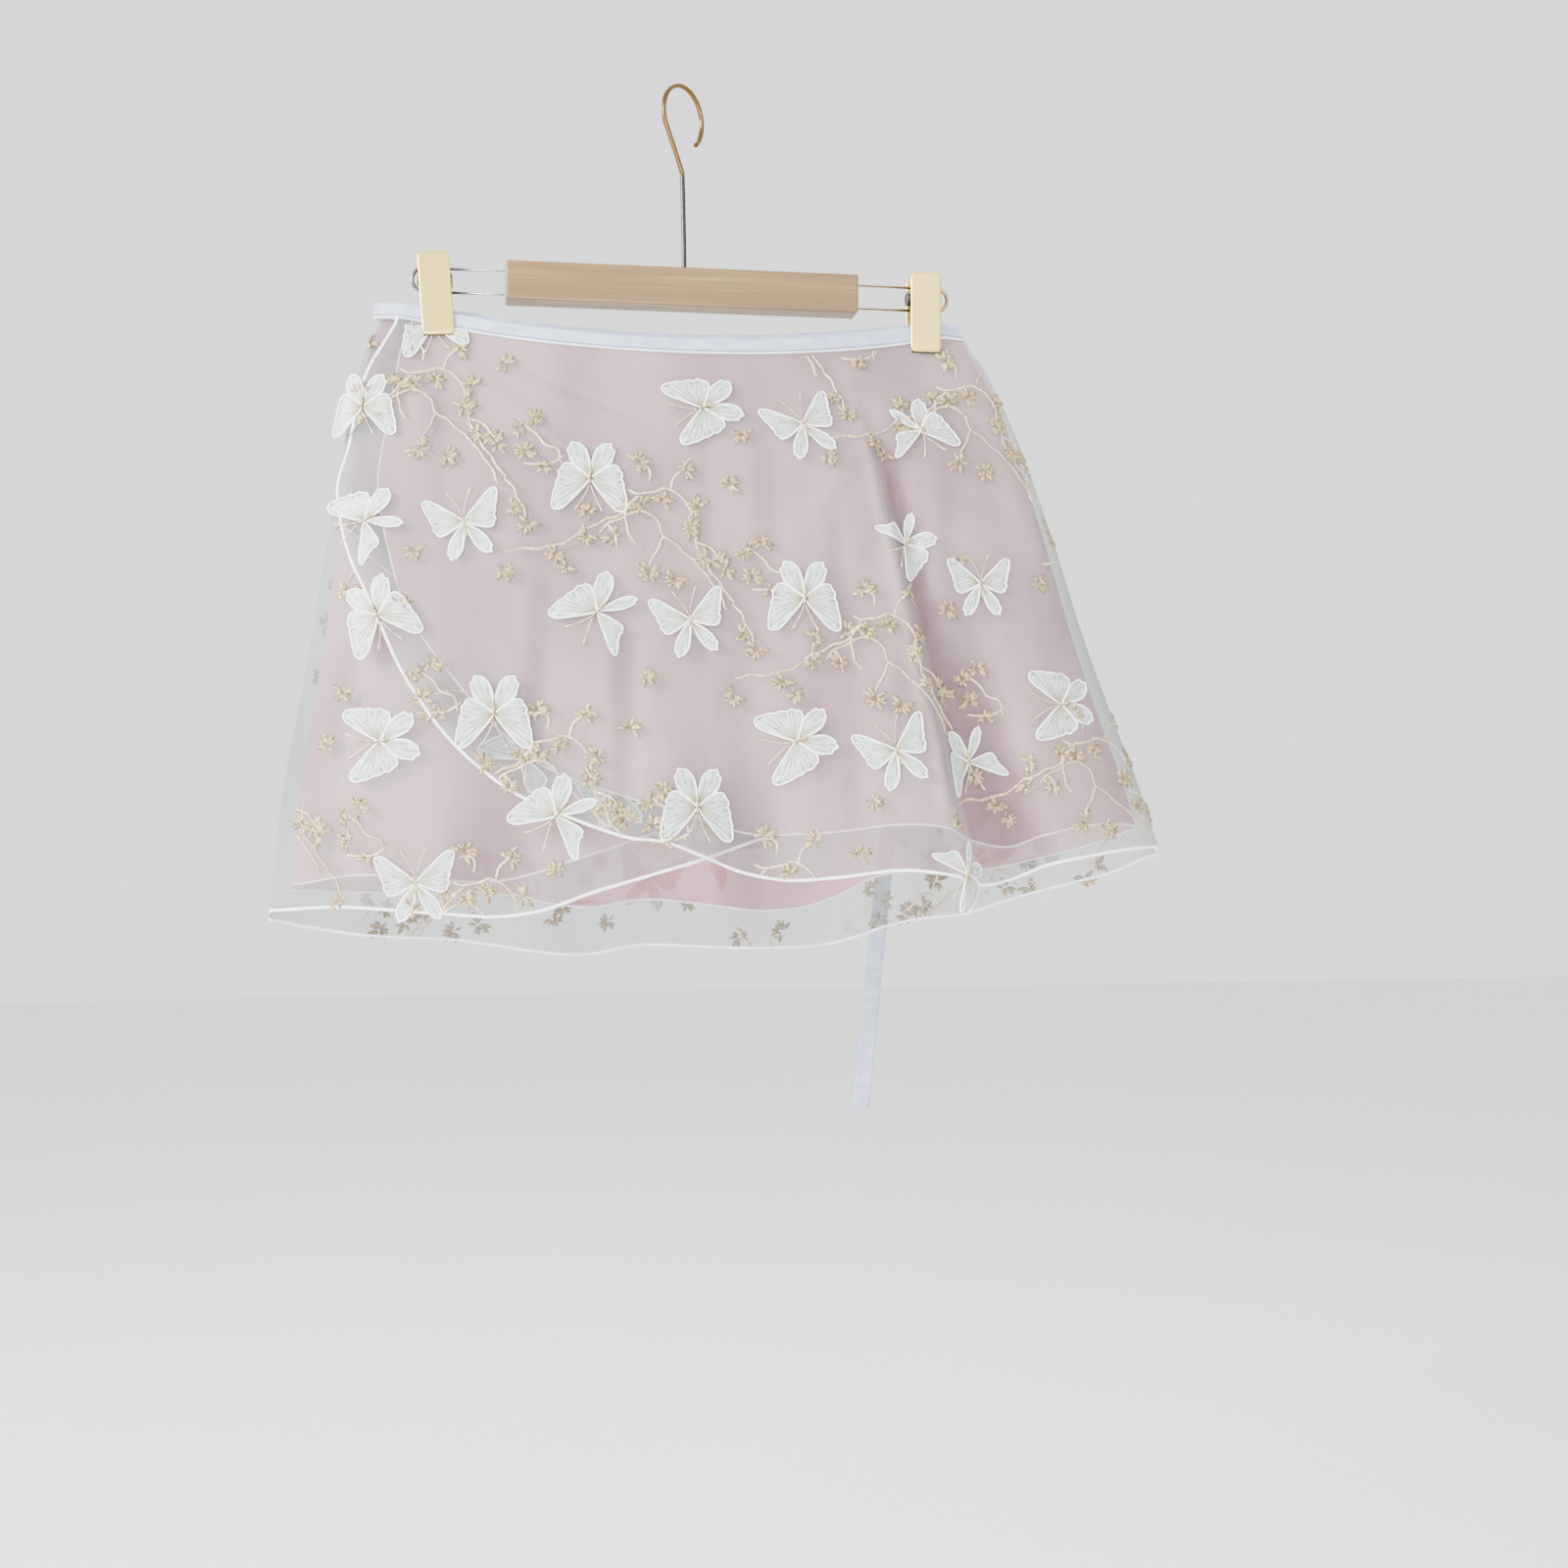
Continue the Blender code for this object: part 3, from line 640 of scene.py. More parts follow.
def add_piece(name: str, patches: Sequence[Patch], finishes: Sequence[Material], chart: str) -> Item:
    """Makes an object of one or more pieces of surface and lets it ride with the model.

    Args:
        name: the piece's name.
        patches: its surfaces.
        finishes: its materials, in the order that the patches number them.
        chart: the name of its map.

    Returns:
        The object, at the origin.
    """
    points, faces, places, numbers = joined(patches)
    mesh = bpy.data.meshes.new(name)
    mesh.from_pydata(points.tolist(), [], faces.tolist())
    layer = mesh.uv_layers.new(name=chart)
    corner = np.empty(len(mesh.loops), dtype=np.int32)
    mesh.loops.foreach_get("vertex_index", corner)
    layer.data.foreach_set("uv", places[corner].astype(np.float32).ravel())
    for finish in finishes:
        mesh.materials.append(finish)
    mesh.polygons.foreach_set("material_index", numbers.astype(np.int32))
    mesh.polygons.foreach_set("use_smooth", np.ones(len(faces), dtype=bool))
    mesh.update()
    item = bpy.data.objects.new(name, mesh)
    bpy.context.scene.collection.objects.link(item)
    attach(item, "root")
    log.info("%s: %d faces", name, len(faces))
    return item


STEPS_BETWEEN_KNOTS = 16


def smooth_path(knots: Array, count: int, lengths: Optional[Array] = None) -> Array:
    """Even places on a smooth curve through knots.

    Between two knots it is the cubic that also heads from the knot before towards the knot after, halved.

    Args:
        knots: the knots, (n, k).
        count: how many places.
        lengths: a weight for each column in the distance run, 0 to leave it out.

    Returns:
        The places, (count, k).
    """
    padded = np.vstack([2.0 * knots[0] - knots[1], knots, 2.0 * knots[-1] - knots[-2]])
    t = np.linspace(0.0, 1.0, STEPS_BETWEEN_KNOTS, endpoint=False)[None, :, None]
    a, b, c, d = (padded[i:len(padded) - 3 + i, None, :] for i in range(4))
    curve = 0.5 * (2.0 * b + (c - a) * t + (2.0 * a - 5.0 * b + 4.0 * c - d) * t**2
                   + (3.0 * b - a - 3.0 * c + d) * t**3)
    curve = np.vstack([curve.reshape(-1, knots.shape[1]), knots[-1:]])
    weights = np.ones(knots.shape[1]) if lengths is None else lengths
    run = run_along(curve * weights)
    wanted = np.linspace(0.0, run[-1], count)
    return np.stack([np.interp(wanted, run, curve[:, i]) for i in range(knots.shape[1])], axis=1)


# The skirt's form


class Layer(Enum):
    """The two layers of cloth."""

    ORGANZA = "organza"
    LINER = "liner"


class Turn(Enum):
    """The stretches of cloth round the skirt."""

    TOP = "top"
    UNDER = "under"
    BACK = "back"


class Section(NamedTuple):
    """The loop of the liner at one level: its two sides and how far its front and back stand off."""

    drop: float
    left: float
    right: float
    front: float
    back: float


class Fold(NamedTuple):
    """A fold that deepens from its upper end to the hem, a ridge if depth is positive, else a trough."""

    upper_x: float
    upper_drop: float
    hem_x: float
    left_width: float
    right_width: float
    depth: float


class Crease(NamedTuple):
    """A shallow line in the cloth between two places, shared by every layer it crosses."""

    upper_x: float
    upper_drop: float
    lower_x: float
    lower_drop: float
    width: float
    depth: float


SECTIONS = tuple(Section(*row) for row in (
    (0.140, -0.1885, 0.1770, 0.004, 0.003),
    (0.155, -0.1895, 0.1835, 0.006, 0.006),
    (0.175, -0.1970, 0.1970, 0.013, 0.014),
    (0.200, -0.2030, 0.2090, 0.021, 0.022),
    (0.250, -0.2100, 0.2280, 0.030, 0.036),
    (0.300, -0.2175, 0.2440, 0.037, 0.048),
    (0.350, -0.2240, 0.2590, 0.042, 0.057),
    (0.400, -0.2315, 0.2765, 0.046, 0.065),
    (0.450, -0.2395, 0.2950, 0.049, 0.072),
    (0.500, -0.2440, 0.3080, 0.051, 0.078),
    (0.570, -0.2475, 0.3170, 0.052, 0.084),
))
FRONT_FOLDS = tuple(Fold(*row) for row in (
    (0.108, 0.215, 0.157, 0.060, 0.013, 0.015),
    (0.138, 0.250, 0.192, 0.030, 0.030, -0.011),
    (0.172, 0.300, 0.232, 0.014, 0.034, 0.007),
    (-0.018, 0.330, -0.022, 0.022, 0.030, 0.005),
    (0.035, 0.350, 0.032, 0.026, 0.030, -0.006),
    (-0.110, 0.340, -0.120, 0.034, 0.030, -0.006),
    (-0.165, 0.350, -0.190, 0.026, 0.030, 0.005),
))
BACK_FOLDS = tuple(Fold(*row) for row in (
    (0.205, 0.260, 0.245, 0.026, 0.026, 0.007),
    (0.150, 0.240, 0.178, 0.024, 0.022, -0.006),
    (0.095, 0.230, 0.112, 0.024, 0.026, 0.008),
    (0.045, 0.260, 0.050, 0.024, 0.024, -0.006),
    (-0.012, 0.240, -0.012, 0.024, 0.026, 0.007),
    (-0.060, 0.280, -0.070, 0.022, 0.024, -0.005),
    (-0.110, 0.250, -0.128, 0.024, 0.024, 0.008),
    (-0.155, 0.270, -0.186, 0.022, 0.020, -0.005),
))
FRONT_CREASES = tuple(Crease(*row) for row in (
    (-0.047, 0.340, -0.046, 0.480, 0.0060, 0.0024),
    (-0.036, 0.350, -0.037, 0.480, 0.0070, -0.0018),
    (-0.135, 0.185, -0.060, 0.250, 0.0070, 0.0010),
    (-0.120, 0.178, -0.020, 0.225, 0.0060, -0.0009),
    (0.140, 0.188, 0.060, 0.300, 0.0080, 0.0010),
    (0.150, 0.190, 0.100, 0.340, 0.0070, -0.0010),
    (0.158, 0.190, 0.150, 0.330, 0.0060, 0.0012),
    (-0.157, 0.182, -0.172, 0.330, 0.0060, 0.0012),
    (-0.150, 0.182, -0.140, 0.350, 0.0070, -0.0010),
    (0.060, 0.220, 0.072, 0.470, 0.0090, 0.0015),
    (0.086, 0.240, 0.104, 0.500, 0.0080, -0.0015),
    (-0.085, 0.300, -0.092, 0.450, 0.0080, -0.0014),
    (0.010, 0.210, 0.006, 0.400, 0.0090, -0.0009),
    (0.205, 0.320, 0.262, 0.500, 0.0080, 0.0015),
    (0.104, 0.190, 0.158, 0.500, 0.0042, 0.0038),
    (0.118, 0.215, 0.172, 0.500, 0.0070, -0.0040),
    (-0.205, 0.340, -0.225, 0.520, 0.0070, -0.0015),
))
BACK_CREASES = tuple(Crease(*row) for row in (
    (0.120, 0.190, 0.132, 0.420, 0.0080, 0.0015),
    (0.070, 0.200, 0.080, 0.520, 0.0080, -0.0014),
    (0.015, 0.190, 0.020, 0.520, 0.0090, 0.0015),
    (-0.035, 0.200, -0.040, 0.500, 0.0080, -0.0015),
    (-0.085, 0.190, -0.098, 0.520, 0.0090, 0.0015),
    (-0.140, 0.200, -0.158, 0.520, 0.0080, -0.0012),
    (0.175, 0.240, 0.212, 0.520, 0.0080, 0.0012),
))

EDGES: dict[tuple[Turn, Layer], tuple[tuple[float, float], ...]] = {
    (Turn.TOP, Layer.ORGANZA): (
        (-0.189, 0.173), (-0.197, 0.187), (-0.203, 0.205), (-0.209, 0.236), (-0.216, 0.262), (-0.214, 0.285),
        (-0.208, 0.308), (-0.193, 0.340), (-0.176, 0.378), (-0.151, 0.415), (-0.124, 0.441), (-0.097, 0.458),
        (-0.045, 0.478), (-0.018, 0.482), (0.008, 0.492), (0.030, 0.501), (0.058, 0.506), (0.091, 0.504),
        (0.127, 0.500), (0.158, 0.503), (0.183, 0.510), (0.205, 0.507), (0.233, 0.497), (0.274, 0.490),
        (0.300, 0.488), (0.330, 0.492)),
    (Turn.TOP, Layer.LINER): (
        (-0.178, 0.176), (-0.181, 0.195), (-0.186, 0.225), (-0.191, 0.258), (-0.188, 0.285), (-0.183, 0.308),
        (-0.172, 0.343), (-0.151, 0.374), (-0.128, 0.402), (-0.105, 0.425), (-0.080, 0.441), (-0.037, 0.456),
        (-0.008, 0.463), (0.016, 0.472), (0.040, 0.478), (0.083, 0.477), (0.128, 0.472), (0.157, 0.474),
        (0.180, 0.483), (0.204, 0.487), (0.225, 0.480), (0.252, 0.474), (0.280, 0.473), (0.312, 0.477)),
    (Turn.UNDER, Layer.ORGANZA): (
        (-0.270, 0.527), (-0.254, 0.525), (-0.211, 0.522), (-0.151, 0.526), (-0.120, 0.528), (-0.091, 0.524),
        (-0.060, 0.513), (-0.026, 0.503), (0.008, 0.493), (0.050, 0.478), (0.092, 0.458), (0.130, 0.434),
        (0.160, 0.403), (0.180, 0.365), (0.189, 0.325), (0.188, 0.280), (0.183, 0.240), (0.174, 0.206)),
    (Turn.UNDER, Layer.LINER): (
        (-0.255, 0.511), (-0.235, 0.508), (-0.205, 0.503), (-0.165, 0.504), (-0.127, 0.507), (-0.100, 0.503),
        (-0.067, 0.492), (-0.040, 0.483), (0.000, 0.468), (0.040, 0.451), (0.080, 0.430), (0.115, 0.404),
        (0.142, 0.372), (0.160, 0.335), (0.168, 0.295), (0.168, 0.258), (0.165, 0.228)),
    (Turn.BACK, Layer.ORGANZA): (
        (0.330, 0.491), (0.322, 0.496), (0.300, 0.508), (0.257, 0.521), (0.230, 0.529), (0.203, 0.537),
        (0.175, 0.540), (0.150, 0.546), (0.125, 0.555), (0.100, 0.560), (0.040, 0.560), (-0.020, 0.558),
        (-0.060, 0.563), (-0.100, 0.559), (-0.150, 0.551), (-0.200, 0.546), (-0.240, 0.538), (-0.262, 0.530),
        (-0.270, 0.527)),
    (Turn.BACK, Layer.LINER): (
        (0.312, 0.477), (0.304, 0.482), (0.280, 0.491), (0.240, 0.502), (0.195, 0.509), (0.168, 0.507),
        (0.140, 0.512), (0.118, 0.524), (0.092, 0.532), (0.060, 0.534), (0.018, 0.529), (-0.020, 0.526),
        (-0.062, 0.530), (-0.123, 0.520), (-0.165, 0.519), (-0.220, 0.516), (-0.246, 0.513), (-0.255, 0.511)),
}


EDGE_PLACES = 600
BACK_EDGE_PLACES = 400


@dataclass(frozen=True)
class SkirtForm:
    """The shape in which the cloth hangs, as the solids have it, with finer creases."""

    wall_at_waist: float = 0.0012
    band_height: float = 0.0098
    waist_half_depth: float = 0.0008
    waist_bow: tuple[float, float] = (0.0120, 0.0080)
    waist_bow_power: float = 1.5
    waist_squareness: float = 8.0
    clip_reach: float = 0.1482
    band_end_drop: float = 0.1555
    band_sag: tuple[float, float] = (0.0185, 0.0110)
    band_sag_reach: float = 0.170
    band_sag_power: float = 1.1
    band_half_length: float = 0.187
    pair_at_waist: float = 0.0016
    pair_at_front: float = 0.0042
    pair_at_side: float = 0.0105
    turn_margin: float = 0.0017
    turn_margin_hem: float = 0.0048
    spread_from: float = 0.160
    spread_length: float = 0.360
    spread_power: float = 0.8
    bell_from: float = 0.160
    bell_length: float = 0.085
    turn_fade: tuple[float, float] = (math.radians(61.0), math.radians(83.0))
    fold_growth: float = 1.1
    fold_side_fade: float = 0.5
    hem_level: float = 0.500
    back_hem_level: float = 0.530
    top_corner: tuple[float, float] = (-67.5, -62.0)
    under_corner: tuple[float, float] = (54.0, 52.0)
    row_crowding: float = 1.35
    fold_crowding: float = 1.6
    tucked_under_band: float = 0.0012
    ripple_height: float = 0.00032
    # trough_depth, trough_shade and crease_shade set the painted shade in troughs and creases.
    trough_depth: float = 0.007
    trough_shade: float = 0.8
    crease_shade: float = 2.5
    loop_half_width: float = 0.280
    loop_half_depth: float = 0.075

    def section(self, name: str, drop: Array) -> Array:
        """Reads one column of the sections on a smooth curve, the cubic that keeps the slope at each row.

        Args:
            name: the column.
            drop: where to read it.

        Returns:
            Its values.
        """
        knots = np.array([row.drop for row in SECTIONS])
        values = np.array([getattr(row, name) for row in SECTIONS])
        slopes = np.gradient(values, knots)
        drop = np.clip(drop, knots[0], knots[-1])
        i = np.clip(np.searchsorted(knots, drop) - 1, 0, len(knots) - 2)
        step = knots[i + 1] - knots[i]
        t = (drop - knots[i]) / step
        rise = values[i + 1] - values[i]
        bend_a = slopes[i] * step - rise
        bend_b = rise - slopes[i + 1] * step
        return values[i] + rise * t + t * (1.0 - t) * (bend_a * (1.0 - t) + bend_b * t)

    def spread(self, drop: Array) -> Array:
        """How far down its flare a level is, from 0 at the waist to 1 at the hem."""
        return np.clip((drop - self.spread_from) / self.spread_length, 0.0, None) ** self.spread_power

    def pair_offset(self, angle: Array, drop: Array) -> Array:
        """How far the organza stands outside the liner: more at the sides and towards the hem.

        Args:
            angle: round the skirt.
            drop: down the skirt.

        Returns:
            The distances.
        """
        side = np.sin(angle) ** 2
        more = self.pair_at_front + (self.pair_at_side - self.pair_at_front) * side
        return self.pair_at_waist + self.spread(drop) * more

    def turn_offset(self, angle: Array, drop: Array) -> Array:
        """How far the top wrap stands outside the under wrap. It fades out before the right side.

        Args:
            angle: round the skirt.
            drop: down the skirt.

        Returns:
            The distances.
        """
        full = self.pair_offset(angle, drop) + self.turn_margin + self.turn_margin_hem * self.spread(drop)
        low, high = self.turn_fade
        return full * (1.0 - smooth((angle - low) / (high - low)))

    def offset(self, layer: Layer, turn: Turn, angle: Array, drop: Array) -> Array:
        """How far a layer stands outside the first turn of the liner."""
        offset = self.pair_offset(angle, drop) if layer is Layer.ORGANZA else np.zeros_like(angle + drop)
        return offset + self.turn_offset(angle, drop) if turn is Turn.TOP else offset

    def folds(self, table: Sequence[Fold], x: Array, drop: Array, outer: bool) -> Array:
        """The sum of the folds at a place: bell curves across, each side with a width of its own.

        The panel under the front shares its troughs, and only the outer cloth stands up in ridges.

        Args:
            table: the folds.
            x: across the skirt.
            drop: down the skirt.
            outer: whether the ridges are counted.

        Returns:
            How far the cloth stands out.
        """
        depth = np.zeros_like(x)
        for fold in table:
            if fold.depth > 0.0 and not outer:
                continue
            along = (drop - fold.upper_drop) / (self.hem_level - fold.upper_drop)
            away = x - fold.upper_x - (fold.hem_x - fold.upper_x) * along
            width = np.where(away < 0.0, fold.left_width, fold.right_width)
            depth = depth + fold.depth * smooth(along / self.fold_growth) * np.exp(-((away / width) ** 2))
        return depth

    @staticmethod
    def creases(table: Sequence[Crease], x: Array, drop: Array) -> Array:
        """The sum of the creases at a place: a bell curve across each, fading in and out along it.

        Args:
            table: the creases.
            x: across the skirt.
            drop: down the skirt.

        Returns:
            How far the cloth stands out.
        """
        depth = np.zeros_like(x)
        for crease in table:
            along = (drop - crease.upper_drop) / (crease.lower_drop - crease.upper_drop)
            away = x - crease.upper_x - (crease.lower_x - crease.upper_x) * np.clip(along, 0.0, 1.0)
            fade = smooth(along / 0.3 + 0.2) * smooth((1.15 - along) / 0.35)
            depth = depth + crease.depth * fade * np.exp(-((away / crease.width) ** 2))
        return depth

    def ripple(self, x: Array, drop: Array) -> Array:
        """Fine unevenness of hanging cloth: three slow waves that run down and drift to the side.

        Args:
            x: across the skirt.
            drop: down the skirt.

        Returns:
            How far the cloth stands out.
        """
        wave = np.sin(x * 97.0 + np.sin(drop * 19.0) * 1.3) + 0.7 * np.sin(x * 171.0 - drop * 23.0 + 1.1)
        wave = wave + 0.5 * np.sin(x * 263.0 + drop * 31.0 + 2.3)
        return self.ripple_height * wave * smooth((drop - 0.175) / 0.10)

    def point(self, angle: Array, drop: Array, offset: Array, outer: bool = True) -> Array:
        """A place on the skirt.

        Each level is an ellipse whose front and back have depths of their own. At the waist it is pressed
        flat like a rounded box, and folds and creases stand out from it.

        Args:
            angle: from the middle of the front, in radians.
            drop: below the origin.
            offset: how far outside the liner.
            outer: whether the cloth has the outer wrap's ridges.

        Returns:
            The points, with one more axis than the angles.
        """
        left = self.section("left", drop)
        right = self.section("right", drop)
        half = (right - left) / 2.0
        across = np.sin(angle)
        along = np.cos(angle)
        bell = smooth((drop - self.bell_from) / self.bell_length)
        base_x = (left + right) / 2.0 + half * across
        corner = np.clip(1.0 - np.abs(across) ** self.waist_squareness, 0.0, None)
        squared = corner ** (1.0 / self.waist_squareness)
        bow = np.clip(1.0 - (base_x / self.clip_reach) ** 2, 0.0, None) ** self.waist_bow_power
        reach = []
        tables = (("front", self.waist_bow[0], FRONT_FOLDS, FRONT_CREASES, outer),
                  ("back", self.waist_bow[1], BACK_FOLDS, BACK_CREASES, True))
        for side, deep, folds, creases, ridges in tables:
            flat = (bow * deep + self.waist_half_depth + offset) * squared
            round_depth = (self.section(side, drop) + offset) * np.abs(along)
            stand = self.folds(folds, base_x, drop, ridges) + self.creases(creases, base_x, drop)
            stand = (stand + self.ripple(base_x, drop)) * np.abs(along) ** self.fold_side_fade
            reach.append((1.0 - bell) * flat + bell * round_depth + stand)
        x = base_x + offset * across
        y = np.where(along >= 0.0, -reach[0], reach[1])
        return np.stack(np.broadcast_arrays(x, y, -drop), axis=-1)

    def trough(self, angle: Array, drop: Array) -> Array:
        """How deep a place lies in a fold's trough or a crease, a crease counting for more than its depth, as
        a share of painted shade.

        Args:
            angle: round the skirt.
            drop: down the skirt.

        Returns:
            The share of the cloth's deep colour, which is painted shade, from 0 up.
        """
        left = self.section("left", drop)
        right = self.section("right", drop)
        x = (left + right) / 2.0 + (right - left) / 2.0 * np.sin(angle)
        front, back = (self.folds(folds, x, drop, True) + self.creases(creases, x, drop) * self.crease_shade
                       for folds, creases in ((FRONT_FOLDS, FRONT_CREASES), (BACK_FOLDS, BACK_CREASES)))
        stand = np.where(np.cos(angle) >= 0.0, front, back)
        # Painted shade: the share grows as the fold or crease sinks below the cloth.
        return self.trough_shade * smooth(-stand / self.trough_depth)

    def band_bottom(self, angle: Array) -> Array:
        """The drop of the waistband's lower edge, which sags between the clips.

        Args:
            angle: round the skirt.

        Returns:
            The drops.
        """
        across = np.sin(angle) * self.band_half_length
        sag = np.where(np.cos(angle) >= 0.0, self.band_sag[0], self.band_sag[1])
        hang = np.clip(1.0 - (across / self.band_sag_reach) ** 2, 0.0, None) ** self.band_sag_power
        return self.band_end_drop + sag * hang

    def angle_at(self, x: Array, drop: Array, offset: Array, back: bool) -> Array:
        """The angle whose cloth lies at a place across.

        Args:
            x: across the skirt.
            drop: down the skirt.
            offset: how far outside the liner the cloth is.
            back: whether it is on the back.

        Returns:
            The angles.
        """
        left = self.section("left", drop)
        right = self.section("right", drop)
        across = (x - (left + right) / 2.0) / ((right - left) / 2.0 + offset)
        front = np.arcsin(np.clip(across, -1.0, 1.0))
        return math.pi - front if back else front

    def even_angles(self, start: float, end: float, count: int) -> Array:
        """Angles in steps between even angles and even lengths.

        Args:
            start: the first, in degrees.
            end: the last, in degrees.
            count: how many.

        Returns:
            The angles in radians.
        """
        fine = np.radians(np.linspace(start, end, 721))
        pace = np.hypot(self.loop_half_width * np.cos(fine), self.loop_half_depth * np.sin(fine))
        run = np.cumsum(pace / pace.sum() + 1.0 / len(fine))
        return np.interp(np.linspace(run[0], run[-1], count), run, fine)

    def span(self, layer: Layer, turn: Turn) -> tuple[float, float]:
        """Where a panel is sewn to the waistband.

        Args:
            layer: which layer.
            turn: which stretch.

        Returns:
            Its first and last angle, in degrees.
        """
        which = 0 if layer is Layer.ORGANZA else 1
        spans = {Turn.TOP: (self.top_corner[which], 90.0), Turn.UNDER: (-90.0, self.under_corner[which]),
                 Turn.BACK: (90.0, 270.0)}
        return spans[turn]

    def edge_places(self, layer: Layer, turn: Turn, count: int) -> Array:
        """Places along a panel's hem and free edge, closer together at the sharp fold.

        Args:
            layer: which layer.
            turn: which stretch.
            count: how many.

        Returns:
            The places, (x, drop).
        """
        fine = smooth_path(np.array(EDGES[turn, layer]), EDGE_PLACES)
        near = FRONT_FOLDS[0]
        step = np.linalg.norm(np.diff(fine, axis=0), axis=1)
        middle = (fine[1:, 0] + fine[:-1, 0]) / 2.0
        weight = 1.0 + self.fold_crowding * np.exp(-(((middle - near.hem_x) / near.left_width) ** 2))
        run = np.concatenate([[0.0], np.cumsum(step * weight)])
        wanted = np.linspace(0.0, run[-1], count)
        return np.stack([np.interp(wanted, run, fine[:, 0]), np.interp(wanted, run, fine[:, 1])], axis=1)

    def panel(self, layer: Layer, turn: Turn, columns: int, rows: int) -> tuple[Array, Array]:
        """Angles and drops of a panel's grid, straight down the back and on a fan over the front.

        The columns of a fan run from the waistband to even places along the panel's hem and free edge.

        Args:
            layer: which layer.
            turn: which stretch.
            columns: how many columns of points.
            rows: how many points down each.

        Returns:
            The angles and the drops, each (columns, rows).
        """
        top = self.even_angles(*self.span(layer, turn), columns)
        if turn is Turn.BACK:
            level = np.full_like(top, self.back_hem_level)
            x = self.point(top, level, self.offset(layer, turn, top, level))[:, 0]
            knots = np.array(EDGES[turn, layer])
            fine = smooth_path(knots, BACK_EDGE_PLACES)
            edge_angle, edge_drop = top, np.interp(-x, -fine[:, 0], fine[:, 1])
        else:
            edge = self.edge_places(layer, turn, columns)
            near = self.angle_at(edge[:, 0], edge[:, 1], np.zeros(columns), False)
            out = self.offset(layer, turn, near, edge[:, 1])
            edge_angle = self.angle_at(edge[:, 0], edge[:, 1], out, False)
            edge_drop = edge[:, 1]
            seam = -1 if turn is Turn.TOP else 0
            edge_angle[seam] = top[seam]
        t = (np.linspace(0.0, 1.0, rows) ** self.row_crowding)[None, :]
        top_drop = self.band_bottom(top) - self.tucked_under_band
        return (top[:, None] * (1.0 - t) + edge_angle[:, None] * t,
                top_drop[:, None] * (1.0 - t) + edge_drop[:, None] * t)


FORM = SkirtForm()


def outward_of(points: Array) -> Array:
    """The normals of a grid of points, square to its columns and rows."""
    normal = np.cross(np.gradient(points, axis=0), np.gradient(points, axis=1))
    return normal / (np.linalg.norm(normal, axis=-1, keepdims=True) + 1e-15)


# The cloth


BAND = "ribbon_band"


